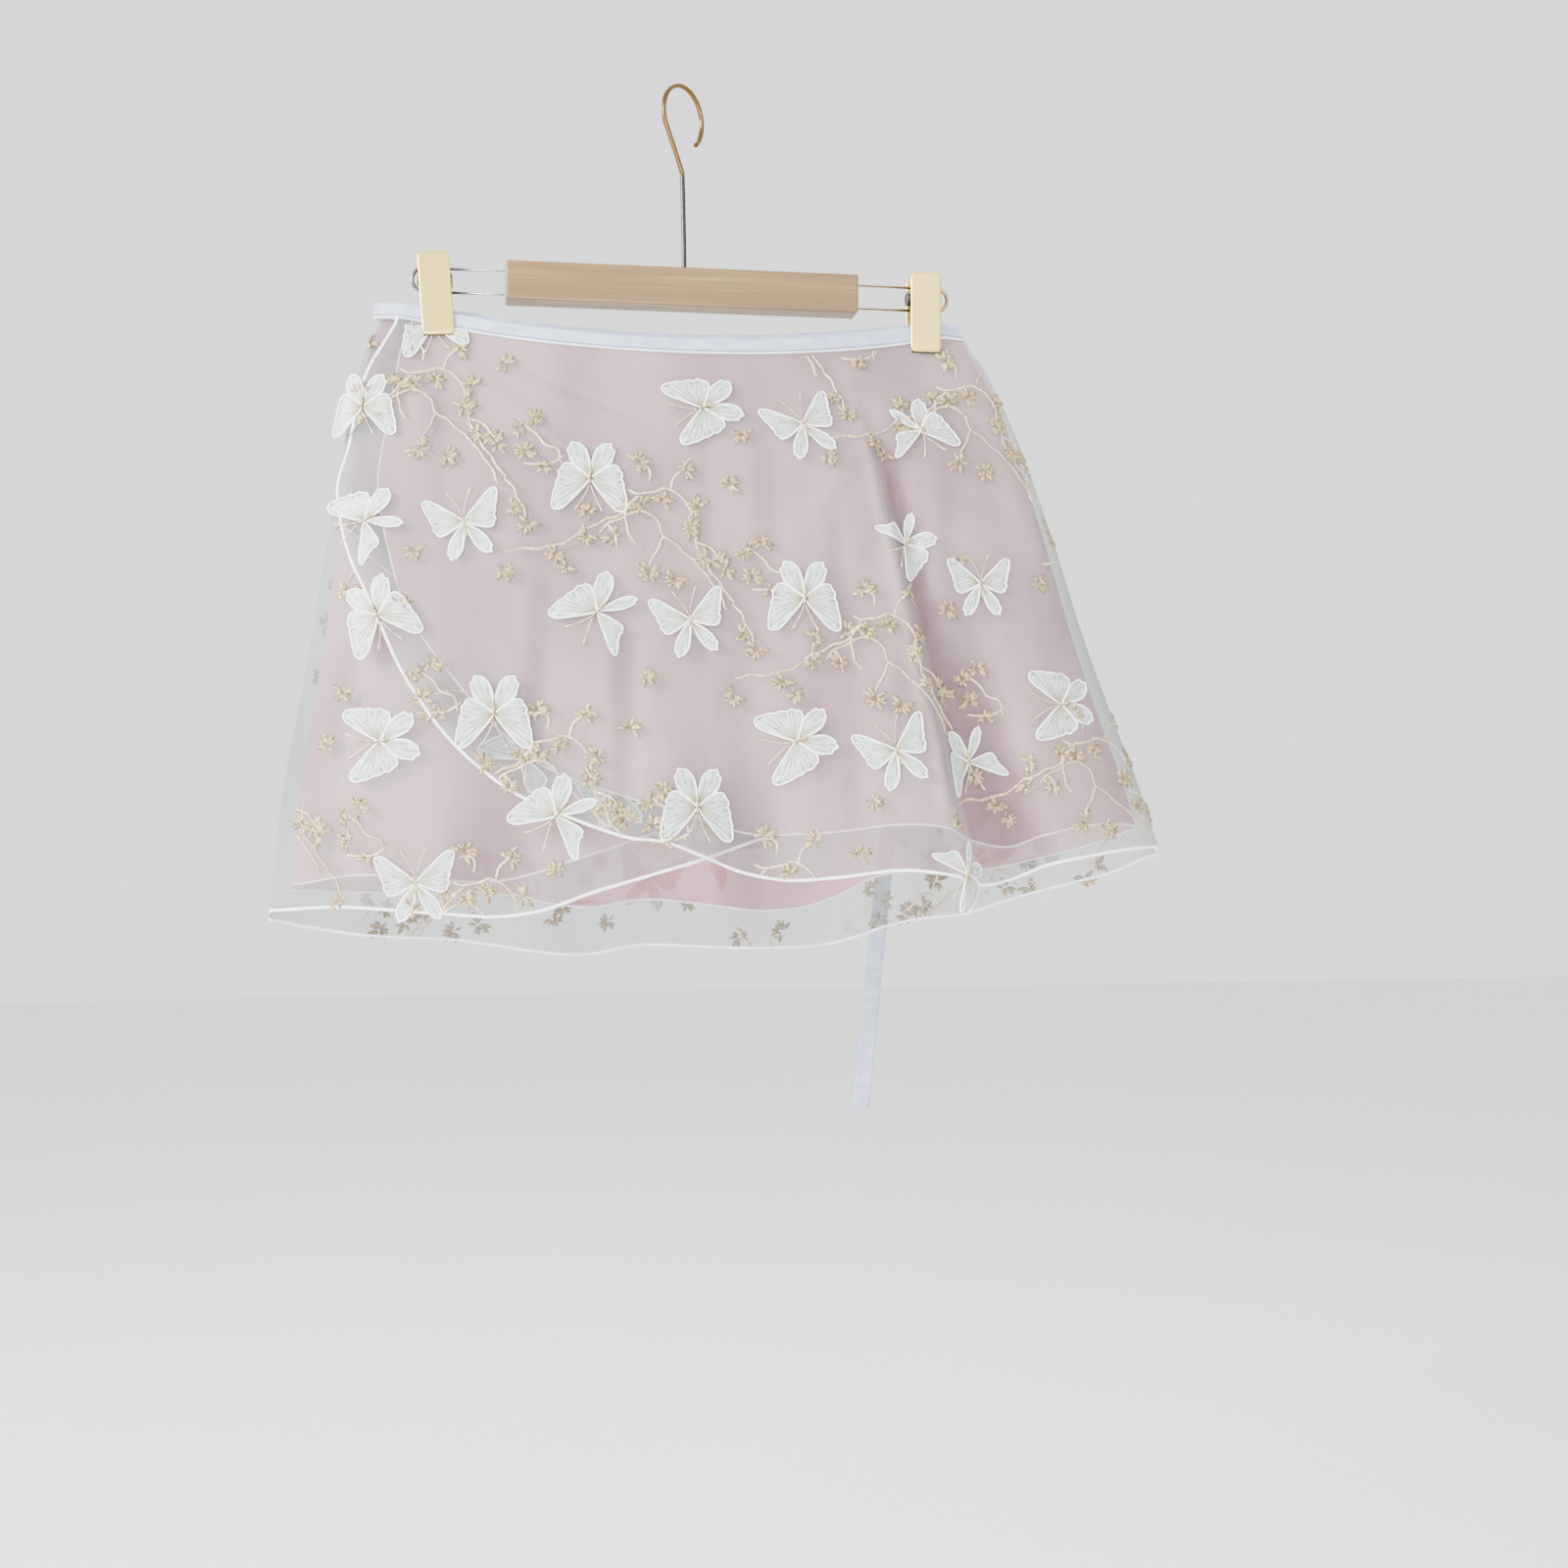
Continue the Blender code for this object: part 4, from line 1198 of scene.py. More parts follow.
@dataclass(frozen=True)
class Panel:
    """One panel of one layer: its surface and the rolled thread edge round its hem.

    roll is the rolled edge's radius, and cut the size of the cloth it is cut from, both in metres.
    """

    layer: Layer
    turn: Turn
    columns: int
    rows: int
    roll: float
    cut: tuple[float, float]
    half_waist: float = 0.27
    stitch_pitch: float = 0.0022
    stitch_step: float = 0.0007

    @property
    def node(self) -> str:
        """The solid that this panel stands for."""
        side = "back" if self.turn is Turn.BACK else f"{self.turn.value}_front"
        return f"{self.layer.value}_{side}"

    def surface(self) -> tuple[Array, Array, Array]:
        """Lays the panel's grid on the skirt's form.

        Returns:
            The grid's angles, drops and points.
        """
        angle, drop = FORM.panel(self.layer, self.turn, self.columns, self.rows)
        offset = FORM.offset(self.layer, self.turn, angle, drop)
        return angle, drop, FORM.point(angle, drop, offset, self.turn is not Turn.UNDER)

    def build(self, cloth: Material, thread: Material, slot: str) -> None:
        """Makes the sheet and its rolled edge.

        Args:
            cloth: the sheet's finish.
            thread: the rolled edge's finish.
            slot: not used.
        """
        angle, drop, points = self.surface()
        places = np.stack([angle * self.half_waist, drop], axis=-1)
        faces = grid_faces(self.columns, self.rows)
        normal = outward_of(points)
        facing = np.where(np.cos(angle) >= 0.0, -1.0, 1.0) * normal[..., 1]
        if facing.sum() < 0.0:
            faces = faces[:, ::-1]
            normal = -normal
        patch = Patch(points.reshape(-1, 3), faces, places.reshape(-1, 2))
        sheet = add_piece(f"{self.node}_cloth", [patch], [cloth], "cloth")
        # steep sets how much more the sheer cloth hides where it turns away; trough is the share of painted
        # shade in troughs and creases.
        shades = {"steep": 1.0 - np.abs(normal[..., 1]), "trough": FORM.trough(angle, drop)}
        for name, values in shades.items():
            layer = sheet.data.attributes.new(name, "FLOAT", "POINT")
            layer.data.foreach_set("value", values.astype(np.float32).ravel())
        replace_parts(sheet, self.node)
        edge = self.rolled_edge(points, normal, thread)
        cells = np.cross(np.diff(points, axis=0)[:, :-1], np.diff(points, axis=1)[:-1])
        area = float(np.linalg.norm(cells, axis=-1).sum())
        log.info("%s area %.4f of %.4f", self.node, area, self.cut[0] * self.cut[1])

    def roll_radius(self, run: Array, around: Array) -> Array:
        """The roll's radius: it swells once a stitch, the swelling winding round it, and varies slowly."""
        stitch = 1.0 + 0.16 * np.sin(2.0 * math.pi * run / self.stitch_pitch - around)
        return self.roll * stitch * (1.0 + 0.10 * np.sin(run * 310.0) * np.sin(run * 83.0))

    def rolled_edge(self, points: Array, normal: Array, thread: Material) -> Item:
        """Thread cast over the edge: a tube along the free edge, its radius swelling at every stitch.

        Args:
            points: the panel's grid.
            normal: its normals.
            thread: the roll's finish.

        Returns:
            The rolled edge.
        """
        line, out = points[:, -1], normal[:, -1]
        if self.turn is Turn.TOP:
            line = np.vstack([points[0, :-1], line])
            out = np.vstack([normal[0, :-1], out])
        if self.turn is Turn.UNDER:
            line = np.vstack([line, points[-1, -2::-1]])
            out = np.vstack([out, normal[-1, -2::-1]])
        length = np.linalg.norm(np.diff(line, axis=0), axis=1).sum()
        only_places = np.array([1, 1, 1, 0, 0, 0])
        both = smooth_path(np.hstack([line, out]), int(length / self.stitch_step), only_places)
        patch = tube(both[:, :3], both[:, 3:], round_section(self.roll_radius, 0.8), 6)
        turned = patch._replace(places=patch.places * np.array([1.0, 1.0 / self.stitch_pitch]))
        return add_piece(f"{self.node}_rolled_edge", [turned], [thread], "thread")


# The embroidery


class Motif(NamedTuple):
    """A stitched figure in its own plane: right, ahead and height, with faces, map and finish per face."""

    points: Array
    faces: Array
    places: Array
    finishes: Array


class WingShape(NamedTuple):
    """A wing's outline: how far it reaches, in millimetres, at angles off the way the butterfly heads."""

    angles: tuple[float, ...]
    reaches: tuple[float, ...]
    root: float


FORE_WING = WingShape(
    angles=(33, 37, 41, 46, 51, 57, 64, 72, 81, 91, 100, 108, 117, 125, 131),
    reaches=(6, 21.5, 27.5, 29.5, 28.7, 26.2, 24.4, 21.6, 21, 19, 20, 18.6, 18.8, 16, 8), root=2.0)
HIND_WING = WingShape(
    angles=(122, 129, 135, 140, 145, 150, 155, 160, 166, 171, 176),
    reaches=(8, 16.5, 19, 23.2, 22.6, 25.5, 23.6, 23.2, 20, 16.5, 8), root=1.0)


class Stitch(IntEnum):
    """Which finish a stitched part of a butterfly takes."""

    WING = 0
    BODY = 1
    FEELER = 2
    BORDER = 3


class Spread(Enum):
    """How wide a butterfly opens its wings: fore left, fore right, hind left, hind right."""

    FULL = (1.0, 1.0, 1.0, 1.0)
    RAISED = (0.78, 0.78, 0.72, 0.72)
    TURNED_LEFT = (1.0, 0.5, 0.95, 0.55)
    TURNED_RIGHT = (0.5, 1.0, 0.55, 0.95)


UNDERSIDE = -0.00005
UPWARD = (0.0, 0.0, 1.0)


@dataclass(frozen=True)
class Butterfly:
    """A butterfly in satin stitch: four padded wings with a raised border, a body and two feelers."""

    phi_steps: int = 20
    reach_steps: int = 8
    base: float = 0.00018
    pad: float = 0.00045
    groove: float = 0.00007
    slope: float = 0.0016
    cord: float = 0.00062
    cord_places: int = 64
    cord_lift: float = 0.00045
    cord_pitch: float = 0.0031
    body_length: float = 0.0150
    body_radius: float = 0.0012
    tail: float = -0.0085
    feeler_radius: float = 0.00030
    club_radius: float = 0.00075
    layer_lift: float = 0.00006

    def cord_swell(self, run: Array, around: Array) -> Array:
        """The outline cord's radius, which swells a little at each stitch."""
        return self.cord * (1.0 + 0.10 * np.sin(run * 2.0 * math.pi / self.cord_pitch + around))

    def feeler_swell(self, run: Array, around: Array) -> Array:
        """The feeler's radius, which grows into the club over its last eighth."""
        return self.feeler_radius + (self.club_radius - self.feeler_radius) * smooth((run - 0.0128) / 0.0022)

    def body_swell(self, run: Array, around: Array) -> Array:
        """The body's radius, which swells towards the head and thins to both ends."""
        share = run / self.body_length
        return self.body_radius * np.sin(math.pi * np.clip(share, 0.03, 0.97)) ** 0.6 * (0.75 + 0.35 * share)

    def wing(self, shape: WingShape, side: float, width: float) -> list[Patch]:
        """One wing, in polar form about its root: a pad of threads and the cord along its outline.

        The pad's height rises from the outline to its middle, with a shallow groove between threads, which
        run from the root outwards. A narrower wing keeps its middle line and closes towards it.

        Args:
            shape: the wing's outline.
            side: -1 for the left wing, 1 for the right one.
            width: how far it opens, 1 for all of it.

        Returns:
            The pad and its border.
        """
        low, high = math.radians(shape.angles[0]), math.radians(shape.angles[-1])
        middle = (low + high) / 2.0
        phi = np.linspace(low, high, self.phi_steps)
        reach = np.interp(phi, np.radians(shape.angles), np.array(shape.reaches) / 1000.0)
        opened = middle + (phi - middle) * width
        t = np.linspace(0.05, 1.0, self.reach_steps) ** 0.8
        r = reach[:, None] * t[None, :]
        inset = np.minimum(reach[:, None] - r, np.minimum(phi - low, high - phi)[:, None] * width * r)
        rise = smooth(inset / self.slope)
        height = self.base + self.pad * rise + self.groove * np.sin(phi * 60.0)[:, None] * rise
        right = side * r * np.sin(opened)[:, None]
        ahead = r * np.cos(opened)[:, None] + shape.root / 1000.0
        top = np.stack([right, ahead, height], axis=-1)
        under = np.stack([right, ahead, np.full_like(right, UNDERSIDE)], axis=-1)
        places = np.stack(np.broadcast_arrays(phi[:, None] * 6.0, t[None, :]), axis=-1)
        rim = np.vstack([top[0, :-1], top[:, -1], top[-1, -2::-1]])
        rim[:, 2] = self.cord_lift
        path = smooth_path(rim, self.cord_places)
        edge = tube(path, everywhere(UPWARD, path), round_section(self.cord_swell, 0.8), 6)
        edge = edge._replace(finish=Stitch.BORDER, places=edge.places * np.array([1.0, 900.0]))
        return [slab(top, under, places, Stitch.WING), edge]

    def feeler(self, side: float) -> Patch:
        """A feeler: a thin cord that leans out from the head and ends in a club.

        Args:
            side: -1 for the left feeler, 1 for the right one.

        Returns:
            The feeler.
        """
        t = np.linspace(0.0, 1.0, 9)
        right = side * (0.0006 + 0.0075 * t**1.3)
        path = np.stack([right, 0.0065 + 0.0160 * t, np.full_like(t, 0.0004)], axis=1)
        cord = tube(path, everywhere(UPWARD, path), round_section(self.feeler_swell, 0.8), 6)
        return cord._replace(finish=Stitch.FEELER)

    def body(self) -> Patch:
        """The body: a spindle along the way it heads.

        Returns:
            The body.
        """
        t = np.linspace(0.0, 1.0, 10)
        path = np.stack([np.zeros_like(t), self.tail + self.body_length * t, np.full_like(t, 0.0008)], axis=1)
        spindle = tube(path, everywhere(UPWARD, path), round_section(self.body_swell, 0.8), 8)
        return spindle._replace(finish=Stitch.BODY)

    def motif(self, spread: Spread) -> Motif:
        """The whole butterfly, each part a little above the one before.

        Args:
            spread: how it holds its wings.

        Returns:
            The butterfly.
        """
        fore_left, fore_right, hind_left, hind_right = spread.value
        parts = [*self.wing(HIND_WING, -1.0, hind_left), *self.wing(HIND_WING, 1.0, hind_right),
                 *self.wing(FORE_WING, -1.0, fore_left), *self.wing(FORE_WING, 1.0, fore_right),
                 self.body(), self.feeler(-1.0), self.feeler(1.0)]
        lift = np.array([0.0, 0.0, self.layer_lift])
        lifted = [p._replace(points=p.points + lift * i) for i, p in enumerate(parts)]
        return Motif(*joined(lifted))


@dataclass(frozen=True)
class LeafCluster:
    """A bunch of small pointed leaves from one short stalk, each a padded lens."""

    length: float = 0.0068
    half_width: float = 0.0014
    height: float = 0.00070
    stalk: float = 0.0010
    most: int = 10
    fewest: int = 7

    def leaf(self, turn: float, scale: float, lift: float) -> Patch:
        """One leaf: a lens whose width follows a sine along it, highest along its middle.

        Args:
            turn: which way it points, in radians right of ahead.
            scale: its size.
            lift: how far its edge is off the cloth.

        Returns:
            The leaf.
        """
        t = np.linspace(0.0, 1.0, 5)[:, None]
        s = np.linspace(-1.0, 1.0, 3)[None, :]
        wide = self.half_width * scale * np.clip(np.sin(math.pi * (0.06 + 0.90 * t)), 0.0, None) ** 0.8
        along = np.broadcast_to(self.stalk + self.length * scale * t, wide.shape[:1] + s.shape[1:])
        across = wide * s
        height = lift + self.height * (1.0 - s**2) * np.sin(math.pi * (0.1 + 0.85 * t))
        cos, sin = math.cos(turn), math.sin(turn)
        right = across * cos + along * sin
        ahead = along * cos - across * sin
        top = np.stack([right, ahead, height + 0.0001], axis=-1)
        under = np.stack([right, ahead, np.full_like(right, UNDERSIDE)], axis=-1)
        places = np.stack(np.broadcast_arrays(s, t), axis=-1)
        return slab(top, under, places)

    def motif(self, seed: int) -> Motif:
        """A bunch whose leaves differ a little in length and turn.

        Args:
            seed: the number that its chances start from.

        Returns:
            The bunch.
        """
        chance = np.random.default_rng(seed)
        turns = np.radians(np.linspace(-150.0, 160.0, self.most)) + chance.uniform(-0.2, 0.2, self.most)
        kept = chance.permutation(self.most)[:chance.integers(self.fewest, self.most)]
        leaves = [self.leaf(turns[k], chance.uniform(0.6, 1.15), 0.0001 * i) for i, k in enumerate(kept)]
        return Motif(*joined(leaves))


class Placed(NamedTuple):
    """A butterfly as the cloth shows it: place, heading in degrees left of up, size and wings."""

    x: float
    drop: float
    heading: float
    size: float
    spread: Spread


TOP_BUTTERFLIES = tuple(Placed(*row) for row in (
    (0.0116, 0.2093, 108.0, 1.00, Spread.FULL),
    (0.0738, 0.2202, 20.0, 1.00, Spread.RAISED),
    (0.1498, 0.2180, 205.0, 0.92, Spread.TURNED_LEFT),
    (-0.0609, 0.2563, 178.0, 1.00, Spread.FULL),
    (-0.1373, 0.2880, 12.0, 0.98, Spread.RAISED),
    (-0.0562, 0.3404, 138.0, 1.00, Spread.TURNED_RIGHT),
    (-0.0005, 0.3477, 12.0, 0.95, Spread.RAISED),
    (0.0699, 0.3296, 180.0, 1.00, Spread.FULL),
    (0.1375, 0.2940, 130.0, 0.85, Spread.TURNED_LEFT),
    (0.1863, 0.3207, 2.0, 0.90, Spread.RAISED),
    (-0.1195, 0.4025, 180.0, 1.00, Spread.FULL),
    (-0.1904, 0.3425, 205.0, 0.98, Spread.FULL),
    (-0.1969, 0.2845, 115.0, 0.95, Spread.TURNED_RIGHT),
    (-0.1996, 0.2108, 180.0, 0.90, Spread.FULL),
    (0.0652, 0.4199, 110.0, 1.00, Spread.FULL),
    (0.1255, 0.4277, 20.0, 0.98, Spread.RAISED),
    (0.1755, 0.4315, 190.0, 0.92, Spread.TURNED_RIGHT),
    (0.2407, 0.3955, 95.0, 1.00, Spread.FULL),
    (0.0025, 0.4589, 178.0, 1.00, Spread.FULL),
    (-0.0815, 0.4648, 140.0, 1.00, Spread.TURNED_RIGHT),
    (0.1691, 0.5015, 125.0, 0.85, Spread.TURNED_LEFT),
    (-0.1570, 0.1570, 196.0, 0.85, Spread.FULL),
))
UNDER_BUTTERFLIES = (
    Placed(-0.1867, 0.4204, 100.0, 1.00, Spread.FULL),
    Placed(-0.1661, 0.5089, 5.0, 1.00, Spread.RAISED),
)
LATTICE = ((0.139, 0.077), (-0.063, 0.154))
CELL_BUTTERFLIES = (
    Placed(0.000, 0.000, 180.0, 1.0, Spread.FULL),
    Placed(-0.081, 0.032, 12.0, 1.0, Spread.RAISED),
    Placed(0.006, 0.087, 125.0, 1.0, Spread.TURNED_RIGHT),
)
CELL_TWIGS = (
    ((0.022, 0.008), (0.029, 0.012), (0.038, 0.009), (0.047, 0.008), (0.057, 0.013), (0.061, 0.022),
     (0.064, 0.040), (0.074, 0.060), (0.087, 0.079)),
    ((0.029, 0.012), (0.019, 0.023), (0.010, 0.028), (-0.004, 0.034), (-0.020, 0.044), (-0.053, 0.048)),
    ((-0.135, -0.041), (-0.120, -0.051), (-0.103, -0.054), (-0.094, -0.040), (-0.078, -0.026),
     (-0.065, -0.010), (-0.056, 0.006)),
    ((-0.040, -0.033), (-0.030, -0.022), (-0.021, -0.016), (-0.017, -0.008)),
    ((-0.041, -0.008), (-0.033, -0.006), (-0.024, -0.008), (-0.017, -0.012)),
    ((0.029, 0.012), (0.022, 0.022), (0.022, 0.034), (0.027, 0.042)),
    ((0.036, 0.003), (0.035, -0.005), (0.026, -0.006)),
    ((0.009, 0.030), (0.015, 0.037), (0.015, 0.044)),
    ((0.048, 0.008), (0.055, -0.004), (0.062, -0.012)),
    ((0.064, 0.040), (0.074, 0.046), (0.084, 0.056)),
    ((-0.094, -0.040), (-0.100, -0.028), (-0.104, -0.020)),
    ((0.087, 0.079), (0.096, 0.094), (0.100, 0.106)),
)


class Spray(NamedTuple):
    """A bunch of leaves in the repeat: place, turn in degrees and size."""

    x: float
    drop: float
    turn: float
    size: float


CELL_SPRAYS = tuple(Spray(*row) for row in (
    (0.030, -0.009, 20.0, 1.05), (0.031, 0.018, 190.0, 1.00), (0.059, -0.005, 10.0, 0.90),
    (0.066, 0.019, -80.0, 1.00), (0.061, 0.034, 160.0, 0.85), (0.070, 0.051, 200.0, 0.95),
    (0.082, 0.058, -70.0, 1.05), (0.099, 0.062, -30.0, 1.00), (0.101, 0.108, 180.0, 1.00),
    (-0.002, 0.024, 30.0, 0.95), (-0.003, 0.038, 180.0, 0.95), (0.013, 0.038, 170.0, 0.90),
    (-0.022, 0.050, 190.0, 0.95), (-0.015, 0.058, 200.0, 0.80), (-0.053, 0.060, 180.0, 0.95),
    (-0.034, -0.037, 45.0, 0.95), (-0.044, -0.030, 120.0, 0.85), (-0.029, -0.005, -20.0, 0.75),
    (-0.077, -0.045, 10.0, 1.00), (-0.088, -0.012, 160.0, 1.05), (-0.060, -0.024, -60.0, 0.90),
    (-0.104, -0.016, 170.0, 1.10), (-0.095, -0.062, 10.0, 0.90), (-0.107, 0.048, 150.0, 0.90),
    (-0.120, -0.059, 60.0, 0.85), (0.092, 0.098, 60.0, 0.80), (-0.053, -0.074, 0.0, 0.95),
))


@dataclass(frozen=True)
class Ground:
    """A panel as the ground of embroidery: places on it, and whether they are within it."""

    panel: Panel
    base: float = 0.00025
    sweep: float = 1.6
    sweep_steps: int = 257

    @property
    def back(self) -> bool:
        """Whether the panel is the back one."""
        return self.panel.turn is Turn.BACK

    def at(self, angle: Array, drop: Array, lift: Array) -> Array:
        """Points of the panel, lifted off its cloth."""
        offset = FORM.offset(self.panel.layer, self.panel.turn, angle, drop)
        return FORM.point(angle, drop, offset + self.base + lift, self.panel.turn is not Turn.UNDER)

    def angle_of(self, x: Array, drop: Array) -> Array:
        """The angle of a place across, mirrored on the back so that it is seen from behind.

        Args:
            x: across the panel as it is seen.
            drop: down the skirt.

        Returns:
            The angles.
        """
        x = -x if self.back else x
        near = FORM.angle_at(x, drop, np.zeros_like(x), self.back)
        return FORM.angle_at(x, drop, FORM.offset(self.panel.layer, self.panel.turn, near, drop), self.back)

    def clear_of_side(self, x: Array, drop: Array, share: float) -> Array:
        """Whether places lie within a share of the skirt's half width at their level.

        Args:
            x: across the panel as it is seen.
            drop: down the skirt.
            share: the share.

        Returns:
            True for each place that does.
        """
        x = -x if self.back else x
        left, right = FORM.section("left", drop), FORM.section("right", drop)
        return np.abs(x - (left + right) / 2.0) < share * (right - left) / 2.0

    def lay(self, angle: Array, drop: Array, right: Array, ahead: Array, lift: Array) -> Array:
        """Lays flat work on the cloth.

        The distance to the right is measured along the cloth's loop at the anchor's level, so that the work
        keeps its size where the cloth turns away to the side. The distance up becomes a change of drop, by
        the length of the cloth's tangent there, and the loop is followed further by that tangent's lean.

        Args:
            angle: the anchor's angle, for every copy.
            drop: the anchor's drop, for every copy.
            right: the distance to the right in the work's plane, as seen from outside, (copies, points).
            ahead: the distance up in that plane.
            lift: the height above the cloth.

        Returns:
            The points.
        """
        step = 1e-3
        flat = np.zeros_like(angle)
        turn_way = self.at(angle + step, drop, flat) - self.at(angle - step, drop, flat)
        down_way = (self.at(angle, drop + step, flat) - self.at(angle, drop - step, flat)) / (2.0 * step)
        first = turn_way / np.linalg.norm(turn_way, axis=-1, keepdims=True)
        lean = np.sum(down_way * first, axis=-1)
        down_length = np.linalg.norm(down_way - lean[:, None] * first, axis=-1)
        more_drop = -ahead / down_length[:, None]
        sweep = angle[:, None] + np.linspace(-self.sweep, self.sweep, self.sweep_steps)[None, :]
        level = np.broadcast_to(drop[:, None], sweep.shape)
        loop = self.at(sweep, level, np.zeros_like(sweep))
        run = np.cumsum(np.linalg.norm(np.diff(loop, axis=1), axis=-1), axis=1)
        run = np.hstack([np.zeros((len(run), 1)), run])
        middle = self.sweep_steps // 2
        run = run - run[:, middle:middle + 1]
        wanted = right - more_drop * lean[:, None]
        turned = np.stack([np.interp(w, r, a) for w, r, a in zip(wanted, run, sweep)])
        return self.at(turned, drop[:, None] + more_drop, lift)

    def outline(self) -> Array:
        """The panel's outline: along its top, down its last column, back along the hem and up the first.

        Returns:
            The outline's angles and drops.
        """
        grid = np.stack(FORM.panel(self.panel.layer, self.panel.turn, 160, 24), axis=-1)
        return np.vstack([grid[:, 0], grid[-1, 1:], grid[-2::-1, -1], grid[0, -2:0:-1]])

    def holds(self, angle: Array, drop: Array) -> Array:
        """Whether places are within the outline, by counting the sides that a level line crosses.

        Args:
            angle: round the skirt.
            drop: down the skirt.

        Returns:
            True for each place that is.
        """
        corner = self.outline()
        after = np.roll(corner, -1, axis=0)
        a, b = corner[None, :, :], after[None, :, :]
        x, y = angle.reshape(-1, 1), drop.reshape(-1, 1)
        spans = (a[..., 1] > y) != (b[..., 1] > y)
        rise = np.where(np.abs(b[..., 1] - a[..., 1]) < 1e-12, 1e-12, b[..., 1] - a[..., 1])
        meets = a[..., 0] + (y - a[..., 1]) / rise * (b[..., 0] - a[..., 0])
        return (np.sum(spans & (x < meets), axis=1) % 2 == 1).reshape(angle.shape)


@dataclass(frozen=True)
class Embroidery:
    """The stitched figures of one organza panel, listed one by one in front and in the cloth's repeat
    elsewhere.

    start is where the repeat starts, and its butterflies lie to the right of repeat_from, or there are none.
    """

    panel: Panel
    by_hand: tuple[Placed, ...]
    start: tuple[float, float]
    repeat_from: Optional[float]
    twig_half_width: float = 0.00088
    hem_room: float = 0.022
    side_share: float = 1.01
    side_room: float = 0.90
    apart: float = 0.055
    band_room: float = 0.0004
    bunches: int = 5
    first_seed: int = 11
    twig_pitch: float = 0.0016

    @property
    def ground(self) -> Ground:
        """The panel as the ground of this work."""
        return Ground(self.panel)

    def cells(self) -> Array:
        """Where each cell of the repeat starts, over the whole panel.

        Returns:
            The places, (x, drop).
        """
        i, j = np.meshgrid(np.arange(-5, 6), np.arange(-4, 5), indexing="ij")
        first, second = np.array(LATTICE[0]), np.array(LATTICE[1])
        starts = np.array(self.start) + i.reshape(-1, 1) * first + j.reshape(-1, 1) * second
        near = (np.abs(starts[:, 0]) < 0.46) & (starts[:, 1] > 0.0) & (starts[:, 1] < 0.74)
        return starts[near]

    def butterflies(self) -> list[Placed]:
        """The butterflies of the repeat, clear of the hem, of the sides and of those listed one by one.

        Returns:
            The butterflies.
        """
        placed: list[Placed] = []
        if self.repeat_from is not None:
            for start in self.cells():
                for one in CELL_BUTTERFLIES:
                    x, drop = start[0] + one.x, start[1] + one.drop
                    apart = min([math.hypot(x - p.x, drop - p.drop) for p in self.by_hand], default=1.0)
                    low = np.array([drop + self.hem_room])
                    place = np.array([x])
                    fits = self.ground.holds(self.ground.angle_of(place, low), low)
                    fits &= self.ground.clear_of_side(place, low, self.side_room)
                    if apart > self.apart and x > self.repeat_from and fits[0]:
                        placed.append(one._replace(x=x, drop=drop))
        return placed

    def scatter(self, motif: Motif, rows: Array, overhang: bool = False) -> list[Patch]:
        """Lays copies of a figure on the panel.

        Args:
            motif: the figure.
            rows: x, drop, heading in degrees and size of each copy.
            overhang: whether a copy is kept when its middle is just off the panel.

        Returns:
            The copies as patches, one for each finish.
        """
        ground = self.ground
        angle = ground.angle_of(rows[:, 0], rows[:, 1])
        inside = ground.holds(angle, rows[:, 1]) | overhang
        inside &= ground.clear_of_side(rows[:, 0], rows[:, 1], self.side_share) | overhang
        rows, angle = rows[inside], angle[inside]
        if not len(rows):
            return []
        count, size = len(rows), len(motif.points)
        heading = np.radians(rows[:, 2])[:, None]
        scale = rows[:, 3][:, None]
        flat_x, flat_y, high = motif.points.T[:, None, :]
        right = (flat_x * np.cos(heading) - flat_y * np.sin(heading)) * scale
        ahead = (flat_x * np.sin(heading) + flat_y * np.cos(heading)) * scale
        lift = np.broadcast_to(high, right.shape)
        points = ground.lay(angle, rows[:, 1], right, ahead, lift).reshape(-1, 3)
        faces = (motif.faces[None] + (np.arange(count) * size)[:, None, None]).reshape(-1, 4)
        places = np.tile(motif.places, (count, 1))
        numbers = np.tile(motif.finishes, count)
        angles = np.arctan2(points[:, 0], np.where(points[:, 1] < 0.0, 1.0, -1.0) * 0.12)
        free = -points[:, 2] > FORM.band_bottom(angles) + self.band_room
        kept = free[faces].all(axis=1)
        faces, numbers = faces[kept], numbers[kept]
        return [Patch(points, faces[numbers == n], places, int(n)) for n in np.unique(numbers)]

    def twigs(self) -> list[Patch]:
        """The twigs of the repeat: flat cords along smooth curves, kept where they are on the panel.

        Returns:
            The twigs.
        """
        ground = self.ground
        patches = []
        for start in self.cells():
            for number, twig in enumerate(CELL_TWIGS):
                knots = np.array(twig) + start
                length = np.linalg.norm(np.diff(knots, axis=0), axis=1).sum()
                place = smooth_path(knots, max(8, int(length / self.twig_pitch)))
                run = np.linspace(0.0, length, len(place))
                place = place + 0.0007 * np.stack([np.sin(run * 420.0 + number), np.cos(run * 350.0)], axis=1)
                angle = ground.angle_of(place[:, 0], place[:, 1])
                on = ground.holds(angle, place[:, 1]) & ground.clear_of_side(place[:, 0], place[:, 1], 1.0)
                on &= place[:, 1] > FORM.band_bottom(angle) + 0.001
                runs = np.split(np.arange(len(on)), np.flatnonzero(np.diff(on.astype(int))) + 1)
                patches += [self.twig(angle[r], place[r, 1]) for r in runs if on[r[0]] and len(r) > 3]
        return patches

    def twig(self, angle: Array, drop: Array) -> Patch:
        """One twig: a half-round cord on the cloth, which tapers at both ends and swells with the stitches.

        Args:
            angle: its places round the skirt.
            drop: its places down the skirt.

        Returns:
            The twig.
        """
        ground = self.ground
        path = ground.at(angle, drop, np.full_like(angle, 0.00015))
        above = ground.at(angle, drop, np.full_like(angle, 0.00115))
        reach = np.linalg.norm(np.diff(path, axis=0), axis=1).sum()

